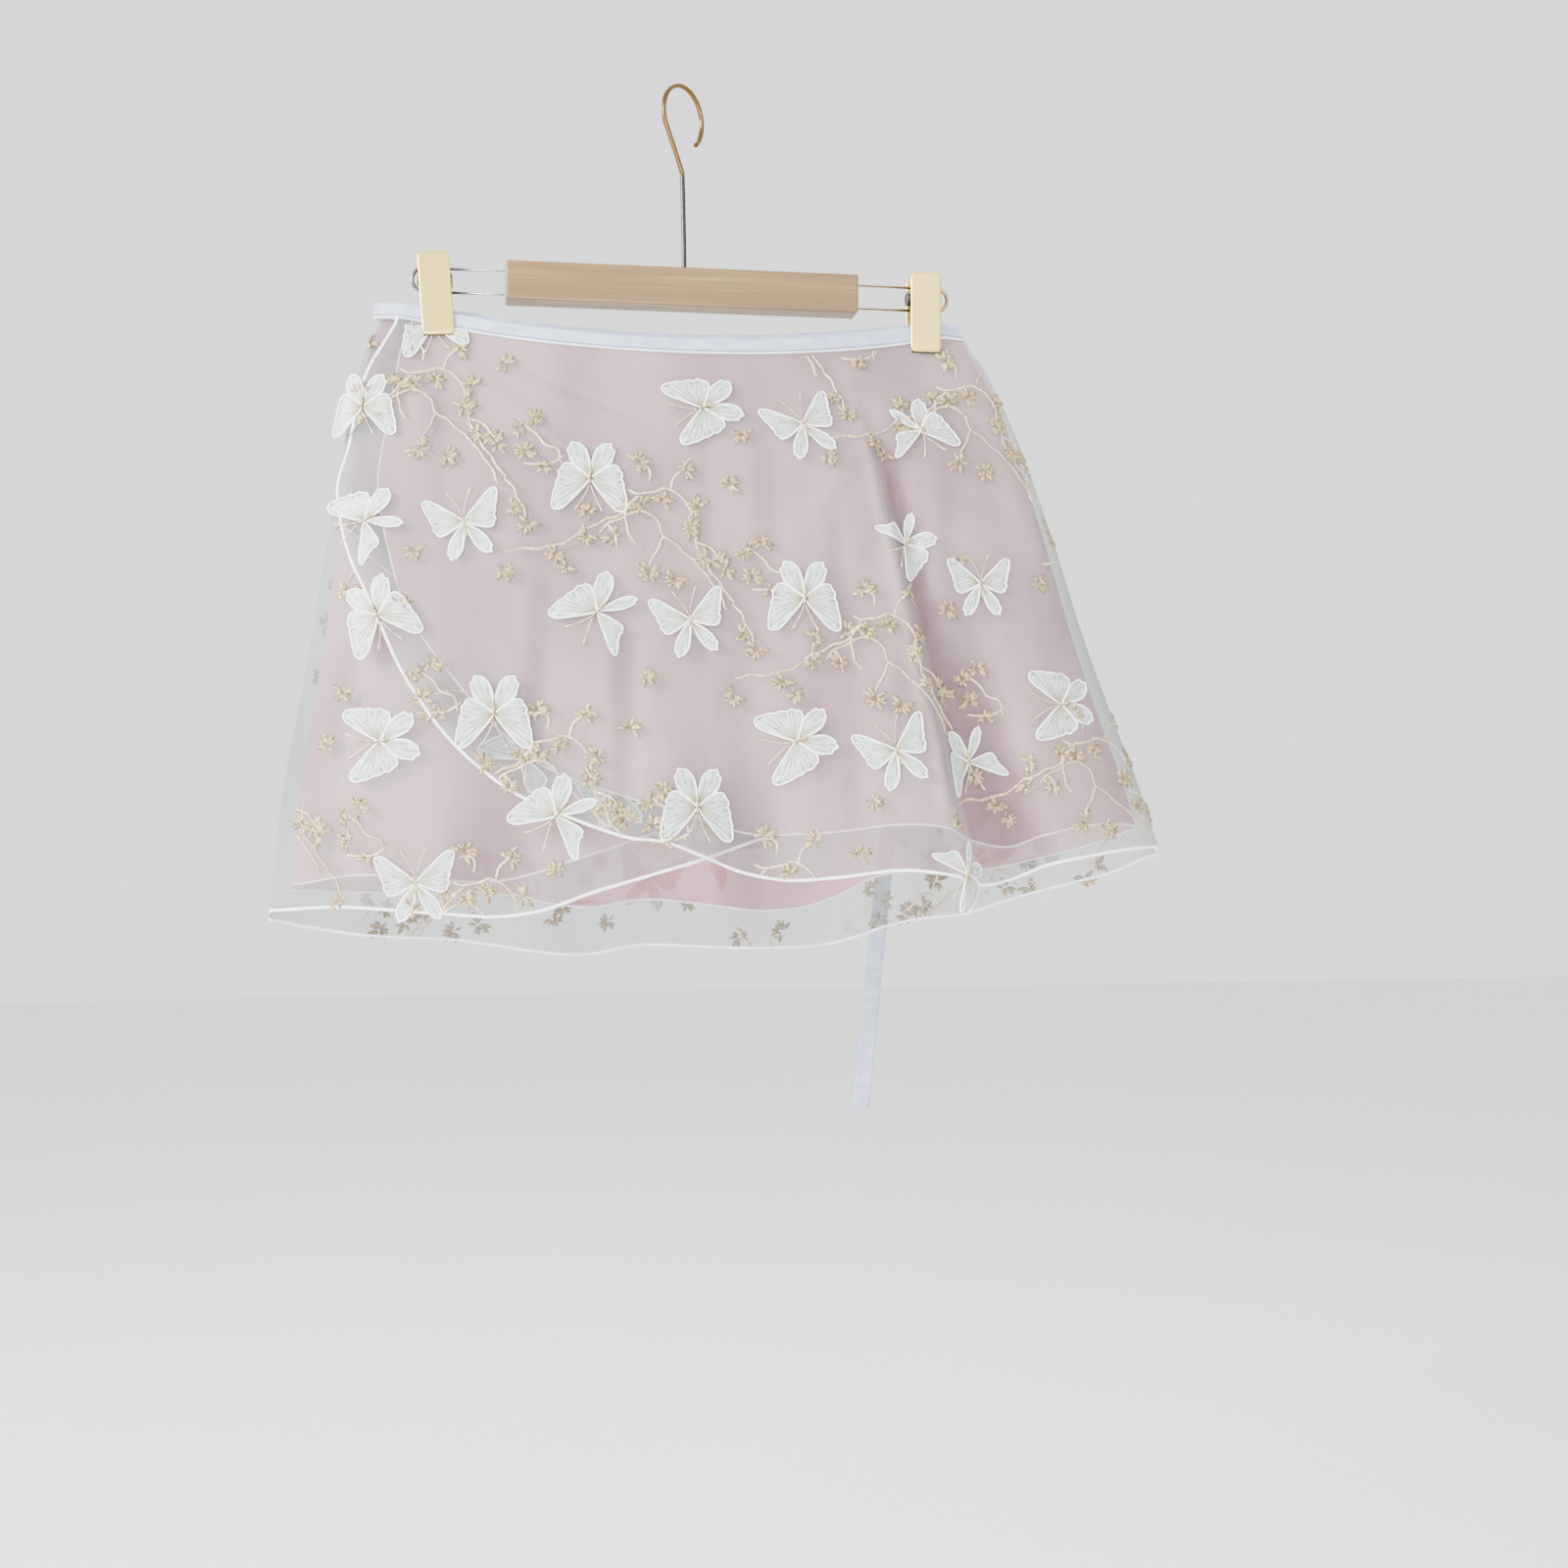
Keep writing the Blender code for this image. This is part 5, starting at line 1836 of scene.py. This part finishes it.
        def swell(run: Array, around: Array) -> Array:
            """The radius along the twig."""
            taper = 0.55 + 0.45 * smooth(np.minimum(run, reach - run) / 0.004)
            return self.twig_half_width * taper * (1.0 + 0.14 * np.sin(run * 2.0 * math.pi / self.twig_pitch))

        return tube(path, above - path, round_section(swell, 0.6), 6)

    def build(self, white: Material, border: Material, gold: Material, pale: Material) -> None:
        """Makes the panel's butterflies, its leaves and its twigs.

        Args:
            white: the wings' finish.
            border: their borders' finish.
            gold: the bodies' and leaves' finish.
            pale: the feelers' and twigs' finish.
        """
        patches: list[Patch] = []
        maker = Butterfly()
        for placed, overhang in ((self.by_hand, True), (self.butterflies(), False)):
            for spread in Spread:
                rows = np.array([(p.x, p.drop, p.heading, p.size) for p in placed if p.spread is spread])
                if len(rows):
                    patches += self.scatter(maker.motif(spread), rows, overhang)
        add_piece(f"{self.panel.node}_butterflies", patches, [white, gold, pale, border], "thread")
        leaves: list[Patch] = []
        starts = self.cells()
        for kind in range(self.bunches):
            rows = [(s[0] + c.x, s[1] + c.drop, -c.turn, c.size) for n, s in enumerate(starts)
                    for k, c in enumerate(CELL_SPRAYS) if (n + k) % self.bunches == kind]
            leaves += self.scatter(LeafCluster().motif(kind + self.first_seed), np.array(rows))
        add_piece(f"{self.panel.node}_leaves", leaves, [gold], "thread")
        add_piece(f"{self.panel.node}_twigs", self.twigs(), [pale], "thread")


# Ribbon


class TiePoint(NamedTuple):
    """A point of a tie that hangs down: across, front to back, drop and turn of its face in degrees."""

    x: float
    y: float
    drop: float
    turn: float


HANGING_TIE = tuple(TiePoint(*row) for row in (
    (0.1605, 0.0049, 0.1500, 0.0), (0.1600, 0.0050, 0.1665, 0.0),
    (0.1597, 0.0066, 0.1790, 0.0), (0.1594, 0.0090, 0.1890, 0.0),
    (0.1590, 0.0128, 0.1990, 0.0), (0.1586, 0.0214, 0.2190, 0.0),
    (0.1580, 0.0332, 0.2490, 0.0), (0.1575, 0.0402, 0.2800, 0.0),
    (0.1565, 0.0530, 0.3500, 0.0), (0.1545, 0.0690, 0.4300, 0.0),
    (0.1500, 0.0880, 0.5100, 4.0), (0.1470, 0.0940, 0.5500, 6.0),
    (0.1425, 0.0955, 0.6000, 6.0), (0.1350, 0.0955, 0.6750, 0.0),
))
INNER_TIE = tuple(TiePoint(*row) for row in (
    (0.1586, -0.0016, 0.1500, 0.0), (0.1586, -0.0016, 0.1610, 0.0),
    (0.1586, -0.0008, 0.1680, 0.0), (0.1586, -0.0001, 0.1760, 0.0),
    (0.1560, 0.0000, 0.2000, 0.0), (0.1550, 0.0030, 0.2800, 6.0),
    (0.1540, 0.0060, 0.3600, 10.0), (0.1520, 0.0080, 0.4300, 4.0),
))


@dataclass(frozen=True)
class RibbonWork:
    """The satin waistband, folded over the panels' tops, and the ties that it runs on into."""

    tie_width: float = 0.0120
    tie_wall: float = 0.0006
    tie_below_band: float = 0.0002
    tie_start: float = 114.0
    gap: float = 0.0003
    columns: int = 200
    sides: int = 20
    tie_places: int = 150
    tie_columns: int = 9
    squareness: float = 0.45
    ridge: float = 0.00022
    stitched_groove: float = 0.00016
    pull: float = 0.00010

    def stretch(self, turn: Turn, start: float, end: float, low: float, high: float, height: float,
                below: float) -> Patch:
        """A length of ribbon round the waist: a rounded flat section carried along the band's line.

        The section is a circle squared off by a power. A ridge stands along its lower edge, with the stitched
        groove above it, and slow waves pull at it.

        Args:
            turn: the stretch whose offset it follows.
            start: its first angle, in degrees.
            end: its last angle.
            low: its inner face's offset.
            high: its outer face's offset.
            height: how tall it is.
            below: how far its lower edge is below the band's line.

        Returns:
            The closed ribbon.
        """
        angle = FORM.even_angles(start, end, self.columns)[:, None]
        around = np.linspace(0.0, 2.0 * math.pi, self.sides, endpoint=False)[None, :]
        up = 0.5 + 0.5 * signed_power(np.sin(around), self.squareness)
        out = signed_power(np.cos(around), self.squareness)
        level = FORM.band_bottom(angle) + below - height * up
        relief = self.ridge * np.exp(-(((up - 0.10) / 0.07) ** 2))
        relief = relief - self.stitched_groove * np.exp(-(((up - 0.25) / 0.06) ** 2))
        relief = relief + self.pull * np.sin(angle * 173.0 + np.sin(angle * 29.0) * 2.0) * (1.0 - 0.6 * up)
        offset = (low + high) / 2.0 + out * ((high - low) / 2.0) + relief * np.sign(out)
        wide = np.broadcast_to(angle, level.shape)
        offset = offset + FORM.offset(Layer.LINER, turn, wide, level)
        points = FORM.point(wide, level, offset)
        places = np.stack(np.broadcast_arrays(up * height, wide * 0.187), axis=-1)
        first = np.arange(self.sides)
        last = first + (self.columns - 1) * self.sides
        walls = grid_faces(self.columns, self.sides, ring=True)
        faces = np.vstack([walls, end_faces(first[::-1]), end_faces(last)])
        return outside_out(Patch(points.reshape(-1, 3), faces, places.reshape(-1, 2)))

    def tie(self, points: Sequence[TiePoint], ruffle: float) -> tuple[Patch, float]:
        """A tie that hangs: a thin strip along a smooth curve, its edges curling a little.

        Args:
            points: the curve.
            ruffle: how far its edges curl, in metres.

        Returns:
            The strip and its length.
        """
        knots = np.array(points)
        path = smooth_path(knots, self.tie_places, np.array([1.0, 1.0, 1.0, 0.0]))
        run = run_along(path[:, :3])
        across = np.linspace(-1.0, 1.0, self.tie_columns)[None, :]
        turn = np.radians(path[:, 3])[:, None]
        half = self.tie_width / 2.0
        curl = ruffle * (across**2 - 0.4) * np.sin(run * 60.0)[:, None] * smooth((run[:, None] - 0.06) / 0.05)
        x = path[:, 0:1] + across * half * np.cos(turn)
        y = path[:, 1:2] + across * half * np.sin(turn) + curl
        middle = np.stack(np.broadcast_arrays(x, y, -path[:, 2:3]), axis=-1)
        normal = outward_of(middle) * (self.tie_wall / 2.0)
        places = np.stack(np.broadcast_arrays(across * half, run[:, None]), axis=-1)
        return slab(middle + normal, middle - normal, places), float(run[-1])

    def build(self, binding: Material, satin: Material) -> None:
        """Makes the band and the ties.

        Args:
            binding: the band's finish.
            satin: the ties' finish.
        """
        low = -FORM.wall_at_waist / 2.0
        high = FORM.pair_at_waist + FORM.wall_at_waist / 2.0
        height = FORM.band_height
        near = high + self.gap
        ends = {Turn.TOP: (-90.0, 90.0), Turn.UNDER: (-90.0, FORM.under_corner[0]), Turn.BACK: (90.0, 270.0)}
        parts = [self.stretch(turn, *span, low, high, height, 0.0) for turn, span in ends.items()]
        band = add_piece(BAND, parts, [binding], "cloth")
        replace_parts(band, "band_top_front", "band_under_front", "band_back")
        run_on = self.stretch(Turn.BACK, self.tie_start, 270.0, near, near + self.tie_wall, self.tie_width,
                              self.tie_below_band)
        run = add_piece("ribbon_tie_run", [run_on], [satin], "cloth")
        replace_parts(run, "tie_back_run")
        for name, node, points, ruffle in (("ribbon_tie_end", "tie_hanging_end", HANGING_TIE, 0.0007),
                                           ("ribbon_inner_tie", "tie_inner_end", INNER_TIE, 0.0003)):
            patch, length = self.tie(points, ruffle)
            tie = add_piece(name, [patch], [satin], "cloth")
            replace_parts(tie, node)


# The hanger


@dataclass(frozen=True)
class Hanger:
    """The wooden bar with its wire hook, two bent rails and two sprung clips."""

    bar_length: float = 0.226
    bar_height: float = 0.0245
    bar_drop: float = 0.1292
    hook_wire: float = 0.0032
    hook_radius: float = 0.0196
    hook_swivel: float = math.radians(46.0)
    hook_start: float = math.radians(218.0)
    hook_end: float = math.radians(-52.0)
    rail_wire: float = 0.0023
    rail_drops: tuple[float, float] = (0.1218, 0.1368)
    rail_ends: tuple[float, float] = (-0.1722, 0.1752)
    gap: float = 0.0003

    def hook_path(self) -> Array:
        """The hook's line: a stem, a lean to one side and a round bend, all swivelled round the upright.

        Returns:
            The places.
        """
        top = -(self.bar_drop - self.bar_height / 2.0) + self.gap
        stem = np.array([(0.0012, top), (0.0008, -0.0947), (0.0, -0.0727), (-0.0008, -0.0560),
                         (-0.0026, -0.0510), (-0.0062, -0.0450)])
        a = np.linspace(self.hook_start, self.hook_end, 22)
        middle = self.hook_wire / 2.0 - self.hook_radius
        bend = np.stack([self.hook_radius * np.cos(a), middle + self.hook_radius * np.sin(a)], axis=1)
        flat = smooth_path(np.vstack([stem, bend]), 140)
        swivel = np.array([math.cos(self.hook_swivel), math.sin(self.hook_swivel)])
        return np.column_stack([flat[:, :1] * swivel[None, :], flat[:, 1]])

    def rail_path(self, end: float, sign: float) -> Array:
        """A rail's line: out of the bar, round a half circle and back.

        Args:
            end: how far out it reaches.
            sign: -1 for the left rail, 1 for the right one.

        Returns:
            The places.
        """
        inner = sign * (self.bar_length / 2.0 + self.gap)
        radius = (self.rail_drops[1] - self.rail_drops[0]) / 2.0
        middle = -sum(self.rail_drops) / 2.0
        turn_x = end - sign * (radius + self.rail_wire / 2.0)
        a = np.linspace(math.pi / 2.0, -math.pi / 2.0, 40)
        bend = np.stack([turn_x + sign * radius * np.cos(a), middle + radius * np.sin(a)], axis=1)
        line = np.vstack([[inner, -self.rail_drops[0]], bend, [inner, -self.rail_drops[1]]])
        return np.column_stack([line[:, 0], np.zeros(len(line)), line[:, 1]])

    @staticmethod
    def wire(path: Array, diameter: float, outward: Triple) -> Patch:
        """A round wire along a path, its cut ends slightly rounded.

        Args:
            path: its line.
            diameter: how thick it is.
            outward: a direction square to it.

        Returns:
            The wire.
        """
        radius = diameter / 2.0
        length = run_along(path)[-1]

        def rounded(run: Array, around: Array) -> Array:
            """The radius, smaller over the last part of a millimetre, as on a ball."""
            near_end = np.clip(1.0 - np.minimum(run, length - run) / (radius * 0.8), 0.0, 0.9)
            return radius * np.sqrt(1.0 - near_end**2)

        return tube(path, everywhere(outward, path), round_section(rounded, 1.0), 16)

    def build(self, hook: Material, left: Material, right: Material, wood: Material) -> None:
        """Makes the hook and the rails and gives the bar its wood.

        Args:
            hook: the hook's finish.
            left: the left rail's finish.
            right: the right rail's finish.
            wood: the bar's finish.
        """
        stand = (-math.sin(self.hook_swivel), math.cos(self.hook_swivel), 0.0)
        wire = self.wire(self.hook_path(), self.hook_wire, stand)
        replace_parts(add_piece("wire_hook", [wire], [hook], "cloth"), "hanger_hook")
        for side, end, metal in zip(("left", "right"), self.rail_ends, (left, right)):
            wire = self.wire(self.rail_path(end, math.copysign(1.0, end)), self.rail_wire, (0.0, 1.0, 0.0))
            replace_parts(add_piece(f"wire_rail_{side}", [wire], [metal], "cloth"), f"rail_{side}")
        redress("hanger_bar", wood)


@dataclass(frozen=True)
class Clip:
    """A sprung clip: two pressed plates with rounded corners, gripping lips and a barrel on the rail."""

    side: str
    centre: float
    turn: float
    width: float = 0.0200
    height: float = 0.0520
    plate: float = 0.0011
    drop: float = 0.1392
    front_gap: float = 0.0072
    back_gap: float = 0.0062
    edge_round: float = 0.00035
    crown: float = 0.00010
    lip_drop: float = 0.0258
    lip_half_height: float = 0.0011
    lip_half_depth: float = 0.00038
    lip_squareness: float = 0.6

    def turned(self, across: Array, y: Array, up: Array) -> Array:
        """Puts the plate's own places into the model, leaning with the clip.

        Args:
            across: from the plate's middle to the right.
            y: front to back.
            up: from its middle upwards.

        Returns:
            The points.
        """
        cos, sin = math.cos(self.turn), math.sin(self.turn)
        x = self.centre + across * cos + up * sin
        z = -self.drop - across * sin + up * cos
        return np.stack(np.broadcast_arrays(x, y, z), axis=-1)

    def pressed_plate(self, facing: float, gap: float) -> Patch:
        """A plate: a slightly crowned sheet, its outline a rectangle pulled in near its corners.

        Args:
            facing: -1 for the front plate, 1 for the back one.
            gap: how far it stands from the hanger's middle.

        Returns:
            The plate.
        """
        u = np.linspace(-1.0, 1.0, 21)[:, None]
        v = np.linspace(-1.0, 1.0, 35)[None, :]
        across = self.width / 2.0 * u * (1.0 - 0.10 * np.abs(v) ** 22)
        up = self.height / 2.0 * v * (1.0 - 0.022 * np.abs(u) ** 12)
        edge = np.maximum(np.abs(u) ** 10, np.abs(v) ** 26)
        outer = gap + self.plate - self.edge_round * edge
        inner = gap + self.crown * (1.0 - edge)
        places = np.stack(np.broadcast_arrays(across, up), axis=-1)
        return slab(self.turned(across, facing * outer, up), self.turned(across, facing * inner, up), places)

    def lip(self, facing: float, gap: float) -> Patch:
        """The gripping lip: a dark rounded bar under the plate's lower edge, on the cloth's side.

        Args:
            facing: -1 for the front plate, 1 for the back one.
            gap: how far the plate stands from the hanger's middle.

        Returns:
            The lip.
        """
        u = np.linspace(-1.0, 1.0, 15)
        path = self.turned(u * self.width * 0.46, np.full_like(u, facing * (gap + 0.0004)),
                           np.full_like(u, -self.lip_drop))

        def section(run: Array, around: Array) -> tuple[Array, Array]:
            """A squared round."""
            return (self.lip_half_height * signed_power(np.cos(around), self.lip_squareness) + 0.0 * run,
                    self.lip_half_depth * signed_power(np.sin(around), self.lip_squareness) + 0.0 * run)

        return tube(path, everywhere((0.0, 1.0, 0.0), path), section, 12)._replace(finish=1)

    def build(self, brass: Material, dark: Material) -> None:
        """Makes both plates with their lips and dresses the barrel.

        Args:
            brass: the plates' finish.
            dark: the lips' and the barrel's finish.
        """
        for name, facing, gap in (("front", -1.0, self.front_gap), ("back", 1.0, self.back_gap)):
            parts = [self.pressed_plate(facing, gap), self.lip(facing, gap)]
            piece = add_piece(f"clip_{self.side}_{name}", parts, [brass, dark], "cloth")
            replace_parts(piece, f"clip_{self.side}_{name}_plate")
        redress(f"clip_{self.side}_spring", dark)


def redress(node: str, finish: Material) -> None:
    """Gives a solid that is shown as it is its finish.

    Args:
        node: the solid's name.
        finish: the finish.
    """
    for place in bpy.data.objects[node].material_slots:
        place.material = finish
    log.info("%s keeps its solid", node)


# The room


class Lamp(NamedTuple):
    """A square soft light: its name, place, side and power in watts."""

    name: str
    place: Triple
    size: float
    power: float


@dataclass(frozen=True)
class Room:
    """The floor, the lights and the camera."""

    floor_drop: float = 1.25
    floor_half: float = 6.0
    lamps: tuple[Lamp, ...] = (
        Lamp("key", (-2.0, -1.1, 0.5), 0.8, 210.0), Lamp("fill", (0.9, -2.2, 0.3), 1.8, 24.0),
        Lamp("low", (-0.4, -2.2, -1.0), 1.2, 64.0), Lamp("top", (0.2, 0.9, 1.5), 1.6, 45.0))
    aim: Triple = (0.0, 0.0, -0.33)
    sky: Triple = (0.93, 0.94, 0.96)
    sky_strength: float = 1.9
    eye: Triple = (-0.117, -1.194, -0.447)
    look: float = math.radians(8.7)
    lens: float = 42.75

    def build(self, paper: Material) -> None:
        """Sets up the room.

        Args:
            paper: the floor's finish.
        """
        mesh = bpy.data.meshes.new("floor")
        half, low = self.floor_half, -self.floor_drop
        corners = [(-half, -half, low), (half, -half, low), (half, half, low), (-half, half, low)]
        mesh.from_pydata(corners, [], [(0, 1, 2, 3)])
        mesh.materials.append(paper)
        floor = bpy.data.objects.new("floor", mesh)
        bpy.context.scene.collection.objects.link(floor)
        for lamp in self.lamps:
            self.light(lamp)
        world = bpy.data.worlds.new("studio")
        world.use_nodes = True
        sky = world.node_tree.nodes["Background"]
        sky.inputs["Color"].default_value = (*self.sky, 1.0)
        sky.inputs["Strength"].default_value = self.sky_strength
        bpy.context.scene.world = world
        view = bpy.data.cameras.new("view")
        view.lens = self.lens
        view.sensor_width = 36.0
        camera = bpy.data.objects.new("view", view)
        camera.location = self.eye
        camera.rotation_euler = (math.pi / 2.0, 0.0, -self.look)
        bpy.context.scene.collection.objects.link(camera)
        bpy.context.scene.camera = camera

    def light(self, lamp: Lamp) -> None:
        """Sets up a lamp that faces the skirt.

        Args:
            lamp: the lamp.
        """
        light = bpy.data.lights.new(lamp.name, "AREA")
        light.size = lamp.size
        light.energy = lamp.power
        item = bpy.data.objects.new(lamp.name, light)
        item.location = lamp.place
        aim = np.array(self.aim) - np.array(lamp.place)
        flat = math.hypot(aim[0], aim[1])
        item.rotation_euler = (math.pi / 2.0 + math.atan2(aim[2], flat), 0.0, math.atan2(-aim[0], aim[1]))
        bpy.context.scene.collection.objects.link(item)


ORGANZA_TOP = Panel(Layer.ORGANZA, Turn.TOP, columns=240, rows=110, roll=0.00098, cut=(0.66, 0.42))
ORGANZA_UNDER = Panel(Layer.ORGANZA, Turn.UNDER, columns=220, rows=100, roll=0.00098, cut=(0.62, 0.42))
ORGANZA_BACK = Panel(Layer.ORGANZA, Turn.BACK, columns=240, rows=90, roll=0.00105, cut=(0.66, 0.42))
LINER_TOP = Panel(Layer.LINER, Turn.TOP, columns=220, rows=90, roll=0.00068, cut=(0.64, 0.40))
LINER_UNDER = Panel(Layer.LINER, Turn.UNDER, columns=200, rows=80, roll=0.00068, cut=(0.60, 0.40))
LINER_BACK = Panel(Layer.LINER, Turn.BACK, columns=220, rows=80, roll=0.00068, cut=(0.64, 0.40))
EMBROIDERY = (
    Embroidery(ORGANZA_TOP, TOP_BUTTERFLIES, start=(-0.0609, 0.2563), repeat_from=None),
    Embroidery(ORGANZA_UNDER, UNDER_BUTTERFLIES, start=(-0.105, 0.3434), repeat_from=-0.120),
    Embroidery(ORGANZA_BACK, (), start=(0.020, 0.250), repeat_from=-0.400),
)
CLIPS = (Clip("left", -0.1563, math.radians(-4.0)), Clip("right", 0.1582, 0.0))

# The third colour of each cloth, deep, is the painted shade for troughs and creases.
ORGANZA_CLOTH = VeilFinish("sheer_organza", (0.30, 0.325, 0.32), (0.23, 0.25, 0.245), (0.11, 0.11, 0.11),
                           cover=0.33, veil=0.50, pitch=0.0006, sheen=0.35)
LINER_CLOTH = VeilFinish("pink_chiffon", (0.56, 0.285, 0.335), (0.45, 0.215, 0.26), (0.23, 0.095, 0.12),
                         cover=0.76, veil=0.20, pitch=0.0007, sheen=0.25)
WING_STITCH = StitchFinish("white_satin_stitch", (0.56, 0.60, 0.59), (0.17, 0.20, 0.19), (0.27, 0.27, 0.11),
                           groove=0.95, thread=1.0)
WHITE = (0.97, 0.97, 0.97)
PINK = (0.86, 0.72, 0.75)
BORDER_STITCH = StitchFinish("white_border_stitch", WHITE, (0.80, 0.82, 0.81), WHITE, groove=0.6, thread=3.0)
WHITE_ROLL = StitchFinish("white_rolled_thread", WHITE, (0.76, 0.77, 0.77), WHITE, groove=0.6, thread=3.0)
PINK_ROLL = StitchFinish("pink_rolled_thread", PINK, (0.66, 0.50, 0.54), PINK, groove=0.6, thread=3.0)
GOLD_THREAD = GiltThreadFinish("gold_thread", dark=(0.12, 0.085, 0.035), light=(0.56, 0.44, 0.235))
PALE_THREAD = GiltThreadFinish("pale_gold_thread", dark=(0.36, 0.27, 0.16), light=(0.72, 0.58, 0.41))
HOOK_METAL = MetalFinish("gilt_hook", (0.045, 0.045, 0.05), 0.24, upper=(0.17, 0.10, 0.032))
LEFT_RAIL_METAL = MetalFinish("steel_rail", (0.22, 0.22, 0.225), 0.22)
RIGHT_RAIL_METAL = MetalFinish("gilt_rail", (0.42, 0.30, 0.13), 0.22)
CLIP_METAL = MetalFinish("pale_brass", (0.74, 0.56, 0.15), 0.30, metallic=0.6)
SPRING_METAL = MetalFinish("dark_spring", (0.07, 0.06, 0.035), 0.40)


def main() -> None:
    """Builds every piece in order."""
    logging.basicConfig(level=logging.INFO, format="%(message)s")
    organza, liner = ORGANZA_CLOTH.make(), LINER_CLOTH.make()
    white, border = WING_STITCH.make(), BORDER_STITCH.make()
    gold, pale = GOLD_THREAD.make(), PALE_THREAD.make()
    white_roll, pink_roll = WHITE_ROLL.make(), PINK_ROLL.make()
    binding, satin = SatinFinish("pale_satin_binding", stitched=True).make(), SatinFinish("pale_satin").make()
    RibbonWork().build(binding, satin)
    for panel in (ORGANZA_TOP, ORGANZA_UNDER, ORGANZA_BACK):
        panel.build(organza, white_roll, "organza")
    for panel in (LINER_TOP, LINER_UNDER, LINER_BACK):
        panel.build(liner, pink_roll, "liner")
    for work in EMBROIDERY:
        work.build(white, border, gold, pale)
    Hanger().build(HOOK_METAL.make(), LEFT_RAIL_METAL.make(), RIGHT_RAIL_METAL.make(), BeechFinish().make())
    brass, dark = CLIP_METAL.make(), SPRING_METAL.make()
    for clip in CLIPS:
        clip.build(brass, dark)
    Room().build(PaperFinish().make())


if __name__ == "__main__":
    main()
